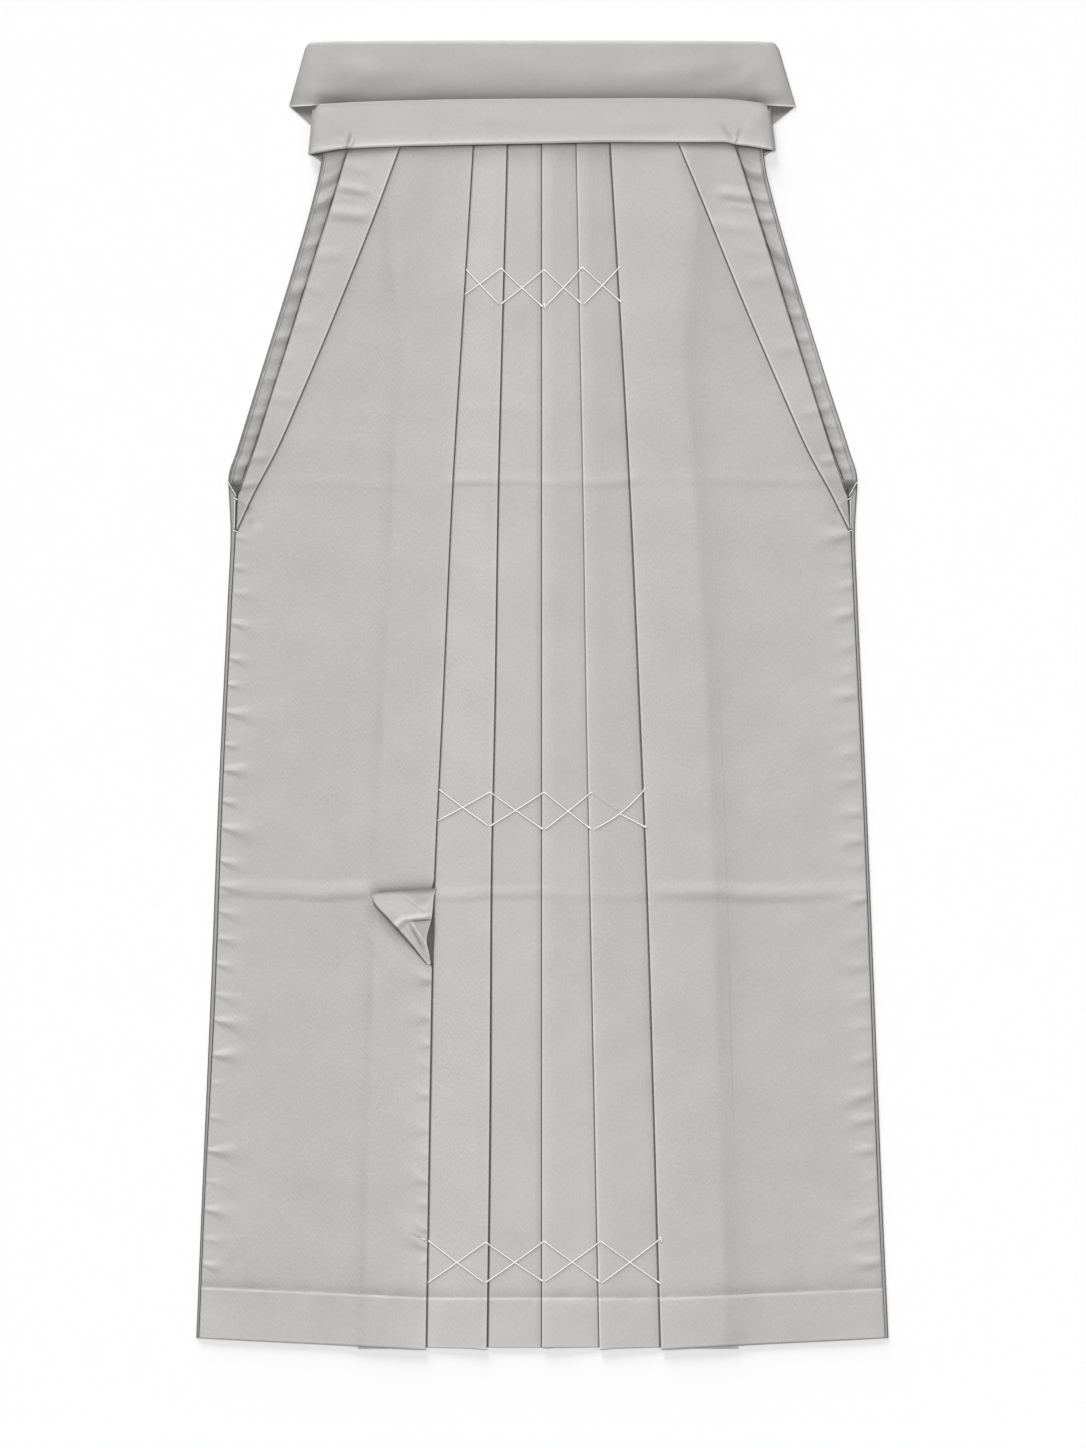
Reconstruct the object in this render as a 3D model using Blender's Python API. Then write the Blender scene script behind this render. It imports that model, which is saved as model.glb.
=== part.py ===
"""Hakama trousers laid flat on their back, front up, with the ties folded away behind the waist.

Metres, +Z up, +Y towards the waist, +X to the right as seen from above. The tables and named sizes
are in millimetres: `down` is the distance below the waist line, where the front band's lower edge
lies at the middle of the garment, and every other column is the distance to the right of the middle.
"""
from collections import namedtuple
from math import cos, pi, sin

import bmesh
import bpy
from mathutils import Vector

MM = 0.001

# ---- driving sizes, in millimetres ---------------------------------------------------------------
CLOTH = 1.0                 # wall of one layer of cloth
GAP = 0.3                   # clearance between layers and at seams
LAYER = CLOTH + GAP         # height from one layer to the next
BAND = 1.8                  # thickness of the folded and lined waist bands

BACK_BAND_TOP = 76.8        # top of the back band above the waist line
HEM_DOWN = 916.6            # lowest point of the hem below the waist line
LENGTH = BACK_BAND_TOP + HEM_DOWN
FRONT_TOP = -24.0           # top of the front cloth, inside the front band
SIDE_PLEAT_TOP = -8.0       # top of the side pleats, inside the front band
BACK_TOP = -29.0            # top of the back cloth, where the back band begins
OPENING_END = 262.0         # the side openings end here, and the side seams begin

# ---- how the cloth is folded ---------------------------------------------------------------------
FOLD_STEPS = 3              # facets round a folded edge
FOLD_RADIUS = LAYER / 2     # radius of the middle of the wall round a folded edge
RISE = 18.0                 # run over which a panel climbs onto the pleat folded under it
RISE_STEPS = 4
CLEAR = 1.2                 # a climbing panel keeps this far from the fold that it climbs over
INNER_TURN = 12.0           # the second pleat turns back this far inside the first fold
LAP = 6.0                   # the right front laps this far onto the right back at the inner leg
SIDE_HEM = 3.2              # width of the narrow hem along the side openings
HEM_SLOPE = 0.049           # how fast the hem rises towards the sides
HEM_FLAT = 90.0             # half width of the level middle of the hem
PLEAT_HEM = 1.5             # a pleat's hem is this much higher where the next panel covers it
HIDDEN_HEM = 0.8            # and a layer folded out of sight ends this much higher
BACK_HEM = 2.5              # the back's hem stays this much above the front's

# ---- the ties folded under the waist raise the cloth that lies on them ---------------------------
LIFT = 2 * LAYER
LIFT_INNER, LIFT_OUTER = 80.0, 100.0    # distance from the middle where the lift begins and is full
LIFT_ABOVE, LIFT_BELOW = 62.0, 140.0    # the lift is full above the first `down`, gone below the second


def table(columns, *rows):
    """A short table: one named tuple for each row."""
    row_type = namedtuple("Row", columns)
    return [row_type(*row) for row in rows]


# Outer edges. `back` columns are the garment's outline; `front` columns are the slanting edge of the
# side opening down to its end, and then the side seam.
EDGES = table(
    "down back_left front_left front_right back_right",
    (-29.0, -170.3, -138.7, 136.0, 170.3),
    (5.3, -170.9, -149.3, 147.8, 170.9),
    (16.7, -172.1, -152.7, 151.7, 172.1),
    (43.3, -175.2, -160.7, 160.0, 175.2),
    (81.3, -185.8, -172.9, 172.1, 185.8),
    (233.3, -232.9, -220.0, 220.0, 232.9),
    (256.1, -239.8, -228.1, 228.2, 239.8),
    (269.0, -239.0, -232.6, 232.6, 239.0),
    (294.9, -237.5, -232.9, 233.7, 237.5),
    (347.3, -238.8, -236.0, 236.0, 239.2),
    (499.3, -245.8, -243.6, 243.2, 245.9),
    (651.3, -252.0, -248.9, 249.3, 252.2),
    (803.3, -258.9, -256.5, 255.0, 258.3),
    (916.6, -263.4, -261.1, 260.4, 263.4),
)

# The five folded edges of the front, left to right, the two hidden turns outside them, and the
# inner-leg seam that lies under the middle pleat.
PLEATS = table(
    "down left_turn fold_1 fold_2 fold_3 fold_4 fold_5 right_turn leg_seam",
    (-29.0, -77.0, -50.8, -26.4, -1.1, 23.9, 49.3, 76.0, 6.0),
    (5.3, -81.0, -52.8, -27.0, -1.1, 24.7, 51.3, 80.0, 6.0),
    (119.3, -91.0, -59.7, -30.0, -1.1, 27.0, 58.1, 99.0, 7.0),
    (271.3, -104.5, -68.8, -33.8, -1.1, 30.0, 66.5, 117.0, 9.0),
    (423.3, -118.0, -75.6, -36.1, -1.1, 32.3, 73.3, 131.0, 11.0),
    (575.3, -129.6, -82.5, -39.1, -1.1, 35.3, 79.4, 137.0, 12.0),
    (727.3, -133.4, -85.5, -39.9, -1.1, 38.4, 84.0, 141.0, 13.0),
    (916.6, -136.5, -88.5, -42.2, -1.1, 42.2, 89.3, 144.8, 14.0),
)

# The long narrow side pleats that lie on the front along its openings.
SIDE_PLEATS = table(
    "down left_outer left_inner right_inner right_outer",
    (-8.0, -145.2, -102.9, 98.9, 144.2),
    (5.3, -149.3, -108.3, 104.5, 147.8),
    (43.3, -160.7, -122.7, 120.5, 160.0),
    (119.3, -184.3, -153.1, 151.6, 183.5),
    (195.3, -207.9, -185.1, 184.3, 207.9),
    (233.3, -220.0, -201.8, 201.0, 220.0),
    (269.0, -232.6, -219.8, 219.8, 232.6),
    (294.9, -232.9, -231.7, 232.5, 233.7),
)

# The small three-cornered fold that a storage crease leaves on the left panel beside its pleat.
CREASE_FOLD = table(
    "down left right",
    (567.0, -129.8, -80.4),
    (573.0, -129.2, -82.4),
    (587.0, -118.9, -84.0),
    (606.0, -102.4, -88.3),
    (617.0, -93.0, -86.6),
    (622.4, -88.4, -84.7),
)

# The bands, from left to right: `upper` and `lower` are heights above the waist line.
FRONT_BAND = table(
    "across upper lower",
    (-165.0, 31.0, -5.5),
    (-149.0, 31.9, -4.6),
    (-104.0, 33.1, -2.5),
    (-52.0, 33.8, -1.1),
    (6.0, 34.2, 0.0),
    (54.0, 34.4, 0.8),
    (104.0, 34.7, 0.5),
    (138.0, 34.2, 0.5),
    (148.0, 33.4, -1.6),
    (165.0, 31.4, -3.2),
)
BACK_BAND = table(
    "across upper lower",
    (-171.0, 76.8, 29.5),
    (-100.0, 76.8, 29.5),
    (-80.0, 76.8, 29.5),
    (-40.0, 76.8, 29.5),
    (40.0, 76.8, 29.5),
    (80.0, 76.8, 29.5),
    (100.0, 76.8, 29.5),
    (171.0, 76.8, 29.5),
)

# Where each band is folded back as a tie: the ends of the folded edge, and the way the tie then runs.
BAND_ENDS = table(
    "band side upper_across upper lower_across lower along downward tie_length",
    ("front", -1, -174.0, 26.2, -177.5, -8.0, 0.883, 0.469, 58.0),
    ("front", 1, 173.3, 26.4, 177.1, -5.6, -0.883, 0.469, 58.0),
    ("back", -1, -176.9, 76.2, -191.6, 27.6, 0.826, 0.564, 66.0),
    ("back", 1, 176.1, 76.2, 191.8, 27.6, -0.826, 0.564, 66.0),
)
BAND_ACROSS = (0.0, 0.04, 0.5, 0.96, 1.0)       # where a band's section has its points
BAND_FULLNESS = (0.45, 1.0, 1.0, 1.0, 0.45)     # and how thick it is there
BAND_FOLD_STEPS = 5

# ---- the rows of cloth from waist to hem ---------------------------------------------------------
LIFT_ROWS = (43.3, 62.0, 88.0, 114.0, 140.0)
BACK_ROWS = (BACK_TOP, -8.0, 16.7, *LIFT_ROWS, 195.3, 233.3, 256.1, 269.0, 294.9, 347.3, 423.3, 499.3,
             575.3, 727.3, 820.0, HEM_DOWN)
FRONT_ROWS = (FRONT_TOP, -8.0, 16.7, *LIFT_ROWS, 195.3, 233.3, 269.0, 294.9, 347.3, 423.3, 499.3,
              575.3, 727.3, 820.0, HEM_DOWN)
SIDE_PLEAT_ROWS = (SIDE_PLEAT_TOP, 16.7, *LIFT_ROWS, 195.3, 233.3, 269.0, 294.9)
CREASE_FOLD_ROWS = tuple(row.down for row in CREASE_FOLD)

Knot = namedtuple("Knot", "across level hem_rise")


def read(rows, column, down):
    """The straight-line value of a column at a distance below the waist line."""
    for upper, lower in zip(rows, rows[1:]):
        if down <= lower.down:
            break
    share = (down - upper.down) / (lower.down - upper.down)
    return getattr(upper, column) * (1 - share) + getattr(lower, column) * share


def ease(value, start, end):
    """A smooth step from 0 at start to 1 at end."""
    share = min(max((value - start) / (end - start), 0.0), 1.0)
    return share * share * (3 - 2 * share)


def lift(across, down):
    """How far the folded ties underneath raise the cloth."""
    return LIFT * ease(abs(across), LIFT_INNER, LIFT_OUTER) * ease(down, LIFT_BELOW, LIFT_ABOVE)


def height(level, across, down):
    """Height of the middle of a layer; the back is level 0."""
    return CLOTH / 2 + level * LAYER + lift(across, down)


def world(across, down, up):
    """A point in metres, with the origin at the middle of the garment, on the ground."""
    return Vector((across, LENGTH / 2 - BACK_BAND_TOP - down, up)) * MM


# ---- solids --------------------------------------------------------------------------------------
def face_normal_grid(points):
    """The normal of a sheet of points at each of them, from its neighbours."""
    last_row = len(points) - 1
    last_column = len(points[0]) - 1
    normals = []
    for i, row in enumerate(points):
        above = points[max(i - 1, 0)]
        below = points[min(i + 1, last_row)]
        normals.append([
            (row[min(j + 1, last_column)] - row[max(j - 1, 0)]).cross(above[j] - below[j]).normalized()
            for j in range(len(row))
        ])
    return normals


def wall(name, points, half_thickness, colour, roughness):
    """A closed wall of cloth round a sheet of points, given as rows of equal length."""
    rows = len(points)
    columns = len(points[0])
    normals = face_normal_grid(points)
    mesh = bmesh.new()
    sides = []
    for sign in (1, -1):
        sides.append([
            [mesh.verts.new(points[i][j] + normals[i][j] * sign * half_thickness(i, j) * MM)
             for j in range(columns)]
            for i in range(rows)
        ])
    upper, under = sides
    for i in range(rows - 1):
        for j in range(columns - 1):
            for side in sides:
                mesh.faces.new((side[i][j], side[i + 1][j], side[i + 1][j + 1], side[i][j + 1]))
        for j in (0, columns - 1):
            mesh.faces.new((upper[i][j], upper[i + 1][j], under[i + 1][j], under[i][j]))
    for j in range(columns - 1):
        for i in (0, rows - 1):
            mesh.faces.new((upper[i][j], upper[i][j + 1], under[i][j + 1], under[i][j]))
    bmesh.ops.recalc_face_normals(mesh, faces=mesh.faces)
    data = bpy.data.meshes.new(name)
    mesh.to_mesh(data)
    mesh.free()
    data.set_sharp_from_angle(angle=pi / 5)
    piece = bpy.data.objects.new(name, data)
    data.materials.append(cloth(name + "_cloth", colour, roughness))
    garment.objects.link(piece)
    return piece


def cloth(name, colour, roughness):
    """Plain pale cloth."""
    material = bpy.data.materials.new(name)
    material.use_nodes = True
    shader = material.node_tree.nodes["Principled BSDF"]
    shader.inputs["Base Color"].default_value = (*colour, 1.0)
    shader.inputs["Roughness"].default_value = roughness
    shader.inputs["Metallic"].default_value = 0.0
    return material


# ---- the ways a layer of cloth runs across the garment -------------------------------------------
def fold(line, side, level, next_level, hem_rise):
    """A folded edge whose outside lies on a line; side is 1 where it points right."""
    centre = line - side * (FOLD_RADIUS + CLOTH / 2)
    middle = (level + next_level) / 2
    half = (level - next_level) / 2
    angles = [pi / 2 - pi * step / FOLD_STEPS for step in range(FOLD_STEPS + 1)]
    return [Knot(centre + side * FOLD_RADIUS * cos(angle), middle + half * sin(angle), hem_rise)
            for angle in angles]


def climb(start, end, level, next_level, hem_rise, next_hem_rise, steps=RISE_STEPS):
    """A soft slope from one level to another."""
    knots = []
    for step in range(steps + 1):
        share = step / steps
        knots.append(Knot(start + (end - start) * share,
                          level + (next_level - level) * ease(share, 0, 1),
                          hem_rise + (next_hem_rise - hem_rise) * share))
    return knots


def outer_hem_rise(across):
    """How far the hem of an outer panel has risen at a distance from the middle."""
    return HEM_SLOPE * max(abs(across) - HEM_FLAT, 0.0)


def sheet(path, downs):
    """The points of a layer whose path across the garment is known at each distance down."""
    points = []
    for down in downs:
        row = []
        for knot in path(down):
            rise = knot.hem_rise * max(down / HEM_DOWN, 0.0) ** 3
            row.append(world(knot.across, down - rise, height(knot.level, knot.across, down)))
        points.append(row)
    return points


def outer_panel_and_pleats(down, side, edge, turn, fold_outer, fold_inner):
    """Outer panel, its folded edge, the hidden turn and two pleats; side is -1 on the left."""
    inner_turn = fold_outer + side * -INNER_TURN
    foot = turn + side * RISE
    beyond_lift = max(LIFT_OUTER - abs(foot), CLEAR)
    flat_marks = (edge, foot + side * beyond_lift, foot + side * beyond_lift / 2)
    outer = [Knot(mark, 1, outer_hem_rise(mark)) for mark in flat_marks]
    outer += climb(foot, turn + side * CLEAR, 1, 3, outer_hem_rise(foot), outer_hem_rise(turn))
    outer += fold(fold_outer, -side, 3, 2, 0.0)
    outer += fold(turn, side, 2, 1, HIDDEN_HEM)
    pleat = climb(fold_outer - side * 2, inner_turn + side * CLEAR, 1, 3, PLEAT_HEM, HIDDEN_HEM)
    pleat += fold(fold_inner, -side, 3, 2, 0.0)
    pleat += fold(inner_turn, side, 2, 1, HIDDEN_HEM)
    return outer + pleat


def front_left_path(down):
    """Left panel, its two pleats, and on under the middle pleat to the inner-leg seam."""
    knots = outer_panel_and_pleats(
        down, -1, read(EDGES, "front_left", down), read(PLEATS, "left_turn", down),
        read(PLEATS, "fold_1", down), read(PLEATS, "fold_2", down))
    knots.append(Knot(read(PLEATS, "fold_2", down) + 4, 1, PLEAT_HEM))
    knots.append(Knot(read(PLEATS, "leg_seam", down), 1, PLEAT_HEM))
    return knots


def front_right_path(down):
    """Right panel, its two pleats, the middle pleat, and back under it to the inner-leg seam."""
    knots = outer_panel_and_pleats(
        down, 1, read(EDGES, "front_right", down), read(PLEATS, "right_turn", down),
        read(PLEATS, "fold_5", down), read(PLEATS, "fold_4", down))
    seam = read(PLEATS, "leg_seam", down)
    knots += climb(read(PLEATS, "fold_4", down) - 2, seam + LAP + 1.5, 1, 3, PLEAT_HEM, PLEAT_HEM)
    knots += fold(read(PLEATS, "fold_3", down), -1, 3, 2, PLEAT_HEM)
    knots += climb(seam + CLEAR, seam + LAP - 2, 2, 1, HIDDEN_HEM, HIDDEN_HEM, steps=3)
    knots.append(Knot(seam + LAP, 1, HIDDEN_HEM))
    return knots


def back_path(side, edge_column, front_column):
    """One half of the back, with its side edge turned up: a hem above, the side seam below."""
    def path(down):
        edge = read(EDGES, edge_column, down)
        front_edge = read(EDGES, front_column, down)
        turned_to = edge - side * SIDE_HEM if down < OPENING_END else front_edge + side * GAP
        start = read(PLEATS, "leg_seam", down) + CLEAR / 2 + side * GAP / 2
        step = (LIFT_OUTER - LIFT_INNER) / 4
        marks = [start] + [side * (LIFT_INNER + step * count) for count in range(5)]
        knots = [Knot(mark, 0, BACK_HEM + outer_hem_rise(mark)) for mark in marks]
        rise = outer_hem_rise(edge)
        knots += fold(edge, side, 0, 1, rise)
        knots.append(Knot(turned_to, 1, rise))
        return knots
    return path


def strip_path(rows, left, right, level, columns):
    """A narrow piece between two columns of a table, lying on a panel."""
    def path(down):
        start = read(rows, left, down)
        width = read(rows, right, down) - start
        return [Knot(start + width * column / (columns - 1), level, 0.0) for column in range(columns)]
    return path


# ---- the bands and the ties they end in ----------------------------------------------------------
def front_band_height(across):
    """Middle of the front band above the ground: it lies on the pleats and over the side pleats."""
    over_pleats = height(4, 0, 0) - CLOTH / 2 + BAND / 2
    return over_pleats + LAYER * ease(abs(across), 88, 102) * ease(abs(across), 165, 152)


def back_band_height(across):
    """Middle of the back band: on the ground, and over its own ties towards the ends."""
    return BAND / 2 + LAYER * ease(abs(across), LIFT_INNER, LIFT_OUTER)


def band_section(upper, lower, up):
    """Points from a band's upper edge to its lower edge, each given as (across, down)."""
    return [world(upper[0] + (lower[0] - upper[0]) * share, upper[1] + (lower[1] - upper[1]) * share, up)
            for share in BAND_ACROSS]


def folded_end(end, band_up, tie_up):
    """Sections round a band's folded edge and along the tie, with the thickness of each."""
    radius = (band_up - tie_up) / 2
    upper = Vector((end.upper_across, -end.upper))
    lower = Vector((end.lower_across, -end.lower))
    edge = (lower - upper).normalized()
    outward = Vector((edge.y, -edge.x)) if (edge.y > 0) == (end.side > 0) else Vector((-edge.y, edge.x))
    inset = radius + (BAND + CLOTH) / 4
    sections = []
    for step in range(BAND_FOLD_STEPS + 1):
        angle = pi * step / BAND_FOLD_STEPS
        shift = outward * (radius * sin(angle) - inset)
        up = (band_up + tie_up) / 2 + radius * cos(angle)
        thickness = BAND + (CLOTH - BAND) * step / BAND_FOLD_STEPS
        sections.append((band_section(upper + shift, lower + shift, up), thickness))
    run = Vector((end.along, end.downward)) * end.tie_length - outward * inset
    sections.append((band_section(upper + run, lower + run, tie_up), CLOTH))
    return sections


def band(name, rows, band_height, tie_up, colour, roughness):
    """A waist band with a tie folded back behind it at each end."""
    ends = [end for end in BAND_ENDS if name.startswith(end.band)]
    left, right = [folded_end(end, band_height(end.upper_across), tie_up) for end in ends]
    middle = [(band_section((row.across, -row.upper), (row.across, -row.lower),
                            band_height(row.across)), BAND) for row in rows]
    sections = left[::-1] + middle + right
    points = [section for section, thickness in sections]

    def half_thickness(i, j):
        return sections[i][1] / 2 * BAND_FULLNESS[j]

    return wall(name, points, half_thickness, colour, roughness)


def layer(i, j):
    """Half the wall of plain cloth, the same everywhere."""
    return CLOTH / 2


# ---- the garment ---------------------------------------------------------------------------------
for old in list(bpy.data.objects):
    bpy.data.objects.remove(old, do_unlink=True)

garment = bpy.data.collections.new("hakama")
bpy.context.scene.collection.children.link(garment)

BACK_COLOUR = (0.46, 0.45, 0.44)
PANEL_COLOUR = (0.52, 0.515, 0.50)
PLEAT_COLOUR = (0.55, 0.545, 0.53)
BAND_COLOUR = (0.57, 0.565, 0.55)
SATIN = 0.55

PIECES = (
    ("back_left", back_path(-1, "back_left", "front_left"), BACK_ROWS, BACK_COLOUR),
    ("back_right", back_path(1, "back_right", "front_right"), BACK_ROWS, BACK_COLOUR),
    ("front_left", front_left_path, FRONT_ROWS, PANEL_COLOUR),
    ("front_right", front_right_path, FRONT_ROWS, PANEL_COLOUR),
    ("side_pleat_left", strip_path(SIDE_PLEATS, "left_outer", "left_inner", 2, 6), SIDE_PLEAT_ROWS,
     PLEAT_COLOUR),
    ("side_pleat_right", strip_path(SIDE_PLEATS, "right_inner", "right_outer", 2, 6), SIDE_PLEAT_ROWS,
     PLEAT_COLOUR),
    ("crease_fold", strip_path(CREASE_FOLD, "left", "right", 4, 4), CREASE_FOLD_ROWS, PANEL_COLOUR),
)
for piece_name, path, downs, colour in PIECES:
    wall(piece_name, sheet(path, downs), layer, colour, SATIN)
band("front_band", FRONT_BAND, front_band_height, height(1, 0, 0), BAND_COLOUR, SATIN)
band("back_band", BACK_BAND, back_band_height, height(0, 0, 0), BAND_COLOUR, SATIN)
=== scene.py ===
"""The looks of a pair of hakama trousers laid flat, front up, on a white table.

Every sheet of cloth is a thin shell on the form of its solid in model.glb. Tables and named sizes
are in millimetres: `down` is the distance below the waist line, where the front band's lower edge
lies at the middle of the garment, and `across` is the distance to the right of the middle.
"""

from collections import namedtuple
from math import pi, radians

import bpy
import numpy as np
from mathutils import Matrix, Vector
from mathutils.bvhtree import BVHTree

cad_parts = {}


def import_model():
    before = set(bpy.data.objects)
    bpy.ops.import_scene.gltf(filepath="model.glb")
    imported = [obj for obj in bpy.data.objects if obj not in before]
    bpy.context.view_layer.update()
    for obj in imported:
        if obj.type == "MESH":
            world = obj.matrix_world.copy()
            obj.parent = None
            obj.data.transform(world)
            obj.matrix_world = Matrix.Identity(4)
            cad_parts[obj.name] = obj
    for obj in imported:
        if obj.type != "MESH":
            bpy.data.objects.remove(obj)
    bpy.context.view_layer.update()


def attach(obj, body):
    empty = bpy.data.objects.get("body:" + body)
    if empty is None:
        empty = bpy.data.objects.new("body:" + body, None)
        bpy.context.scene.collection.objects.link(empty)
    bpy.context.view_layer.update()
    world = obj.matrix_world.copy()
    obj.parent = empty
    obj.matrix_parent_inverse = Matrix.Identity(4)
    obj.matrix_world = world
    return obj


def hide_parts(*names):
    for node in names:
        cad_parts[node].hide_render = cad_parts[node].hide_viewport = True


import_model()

MM = 0.001
BODY = "root"

# ---- sizes shared with the solids, in millimetres ----
GAP = 0.3
BACK_BAND_TOP = 76.8
HEM_DOWN = 916.6
LENGTH = BACK_BAND_TOP + HEM_DOWN
FRONT_TOP = -24
SIDE_PLEAT_TOP = -8
BACK_TOP = -29
OPENING_END = 262
CLEAR = 1.2
SIDE_HEM = 3.2
HEM_SLOPE = 0.049
HEM_FLAT = 90
PLEAT_HEM = 1.5
HIDDEN_HEM = 0.8
BACK_HEM = 2.5

# ---- the soft surface: thinner cloth, closer together than the solids' walls ----
SHELL = 0.4                 # thickness of one layer
PITCH = 0.55                # height from one layer to the next
TURN_RADIUS = PITCH / 2     # radius of the middle of a folded edge
BACK_HALF = 0.28            # half the thickness of the back
FRONT_LEVEL = 1.35          # middle of the front's lowest layer, at the seams
TIE_RISE = 1.25             # how far the folded ties raise the cloth that lies on them
PUFF = (0.35, 0.18)         # how far the left and right panels stand off the layer below
PUFF_REACH = 16             # distance from the side seam over which they rise to that
ROW = 2.3                   # distance between rows of points
PANEL_ROW = 1.5             # the same on the outer panels, which pucker
FOOT = 25                   # run over which a panel climbs onto the hidden turn
CLIMB_LEAN = 1.7            # how late in that run it climbs
DARKEST = 0.10              # darkest painted shade, in the deepest gaps
HEM_STITCH = 877.8          # the hem is stitched this far below the waist line, at the middle
STITCH_SLOPE = 0.043        # and rises this much towards the sides, from HEM_FLAT on
PUCKER_HEIGHT = 1.3
RIPPLE_HEIGHT = 1.4
TWILL_LEAN = -24            # lean of the cloth's fine lines, in degrees
TWILL_HEIGHT = 0.0002       # their height, in metres
WORDS = {-1: "left", 1: "right"}
RIDGE = "across down to_across to_down height half_width"


def table(columns, *rows):
    """A short table as one array for each named column."""
    return dict(zip(columns.split(), np.array(rows, float).T))


EDGES = table(
    "down back_left front_left front_right back_right",
    (-29, -164, -137.9, 135.4, 165.5), (5.3, -166.9, -147.9, 147.2, 168),
    (16.7, -168.4, -151.2, 151.1, 169.1), (43.3, -174.5, -159.2, 159.4, 175.2),
    (81.3, -185.2, -171.3, 171.5, 185.8), (185, -217.2, -203.5, 203.9, 217.5),
    (233.3, -232.1, -219.2, 219.6, 233), (256.1, -238.7, -227.4, 227.8, 239.2),
    (263.7, -238.5, -229.8, 229.9, 239), (269, -238.2, -231.9, 232.1, 238.7),
    (294.9, -237, -233, 234, 237.4), (347.3, -239.2, -235.9, 236.4, 239.3),
    (499.3, -246.3, -243.1, 243.6, 246.1), (651.3, -252.2, -248.7, 249.4, 252.1),
    (803.3, -258.6, -256.3, 255, 257.9), (916.6, -263.1, -260.9, 260.4, 262.9),
)
PLEATS = table(
    "down left_turn fold_1 fold_2 fold_3 fold_4 fold_5 right_turn leg_seam",
    (-29, -77, -51.1, -26.7, -0.3, 25.1, 50.1, 76, 6),
    (5.3, -81, -53.1, -27.3, -0.3, 25.9, 52.1, 80, 6),
    (119.3, -91, -60, -30.3, -0.3, 28.2, 58.9, 99, 7),
    (271.3, -104.5, -69.1, -34.1, -0.3, 31.2, 67.3, 117, 9),
    (423.3, -118, -75.9, -36.4, -0.3, 33.5, 74.1, 131, 11),
    (575.3, -129.6, -82.8, -39.4, -0.3, 36.5, 80.2, 137, 12),
    (727.3, -133.4, -85.8, -40.2, -0.3, 39.6, 84.8, 141, 13),
    (916.6, -136.5, -88.8, -42.5, -0.3, 43.4, 90.1, 144.8, 14),
)
SIDE_PLEATS = table(
    "down left_outer left_inner right_inner right_outer",
    (-8, -143.8, -102.9, 98.9, 143.6), (5.3, -147.9, -108.3, 104.5, 147.2),
    (43.3, -159.2, -122.3, 120.3, 159.4), (119.3, -182.9, -152.4, 151.1, 183.1),
    (195.3, -207.1, -184.3, 183.7, 207.5), (233.3, -219.2, -201.1, 200.6, 219.6),
    (256.1, -227.2, -213.1, 212.8, 227.5), (263.7, -229.8, -217.1, 217, 229.9),
    (269, -231.9, -219.8, 219.8, 232.1), (294.9, -233, -231.7, 232.5, 234),
)
CREASE_FOLD = table(
    "down left right",
    (567, -129.8, -80.4), (573, -129.2, -82.4), (587, -118.9, -84), (605, -103.2, -88),
    (613, -96.4, -86.3), (617, -93, -85.7), (622.4, -88.4, -84.7),
)
FRONT_BAND = table(
    "across upper lower",
    (-165, 29.6, -5.5), (-149, 30.7, -4.6), (-104, 32.3, -2.5), (-52, 33.1, -1.1), (6, 33.5, 0),
    (54, 33.7, 0.8), (104, 34, 0.5), (138, 33.5, 0.5), (148, 32.7, -1.6), (165, 30.7, -3.2),
)
BACK_BAND = table("across upper lower", (-171, 77.3, 29.5), (171, 77.3, 29.5))
BandEnd = namedtuple("BandEnd", "upper_across upper lower_across lower along downward tie_length")
FRONT_BAND_ENDS = (BandEnd(-174.9, 29.4, -178.2, -8.7, 0.830, 0.560, 58),
                   BandEnd(173.6, 30, 177.1, -5.6, -0.830, 0.560, 58))
BACK_BAND_ENDS = (BandEnd(-180.2, 76.6, -192.9, 27.6, 0.750, 0.660, 66),
                  BandEnd(179.3, 76.6, 192.9, 27.6, -0.780, 0.625, 66))

# Storage creases that run across the front: where each lies, its height, and its half width above
# and below its crest.
CREASES = table(
    "down left right height above below",
    (202.5, -66, 66, 0.10, 6, 5), (203.5, 74, 170, 0.07, 9, 7), (206, -150, -80, 0.06, 9, 7),
    (258, -76, 78, 0.34, 8, 4.5), (256, 82, 226, 0.18, 8, 6), (259, -226, -96, 0.08, 8, 6),
    (569.5, -258, -129, 0.60, 11, 7), (571, -84, 82, 0.28, 8, 6), (570.5, 82, 254, 0.60, 10, 7),
)

# Single soft ridges, each from one point to another.
RIDGES = table(
    RIDGE,
    (-118, 62, -112, 130, -0.20, 7), (119, 62, 113, 130, -0.20, 7),
    (-225, 276, -214, 292, -0.35, 5), (225, 276, 214, 292, -0.30, 5),
    (-150, 30, -120, 46, 0.10, 6), (-140, 590, -108, 640, 0.18, 5),
    (-130, 586, -98, 628, -0.20, 4), (-126, 600, -116, 668, 0.12, 8),
    (-98, 624, -86, 641, 0.16, 3.5), (-92, 852, -86, 846, 0.25, 3), (-60, 852, -46, 858, 0.14, 3),
    (-56, 862, -44, 866, 0.12, 2.6), (206, 790, 244, 806, -0.12, 16),
    (-250, 862, -228, 846, -0.12, 6), (-240, 60, -180, 76, 0.08, 7),
)

# How far the first fold is pulled back where the three-cornered fold lies on it.
PULL = table(
    "down back",
    (560, 0), (566, 1.4), (573, 4), (587, 4.8), (606.5, 7.6), (618, 4.6), (623, 2.6), (627, 0),
    (630, 0),
)

# Where the hidden turns under the outer panels show as soft steps.
STEPS = table(
    "down left right",
    (-29, -104, 102), (58, -118, 117), (165, -108, 108), (233, -113, 114), (347, -117.5, 121),
    (446, -122.5, 126), (533, -126.5, 129.5), (674, -130.5, 133), (780, -134, 136.5),
    (916.6, -135.5, 140),
)


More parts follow.
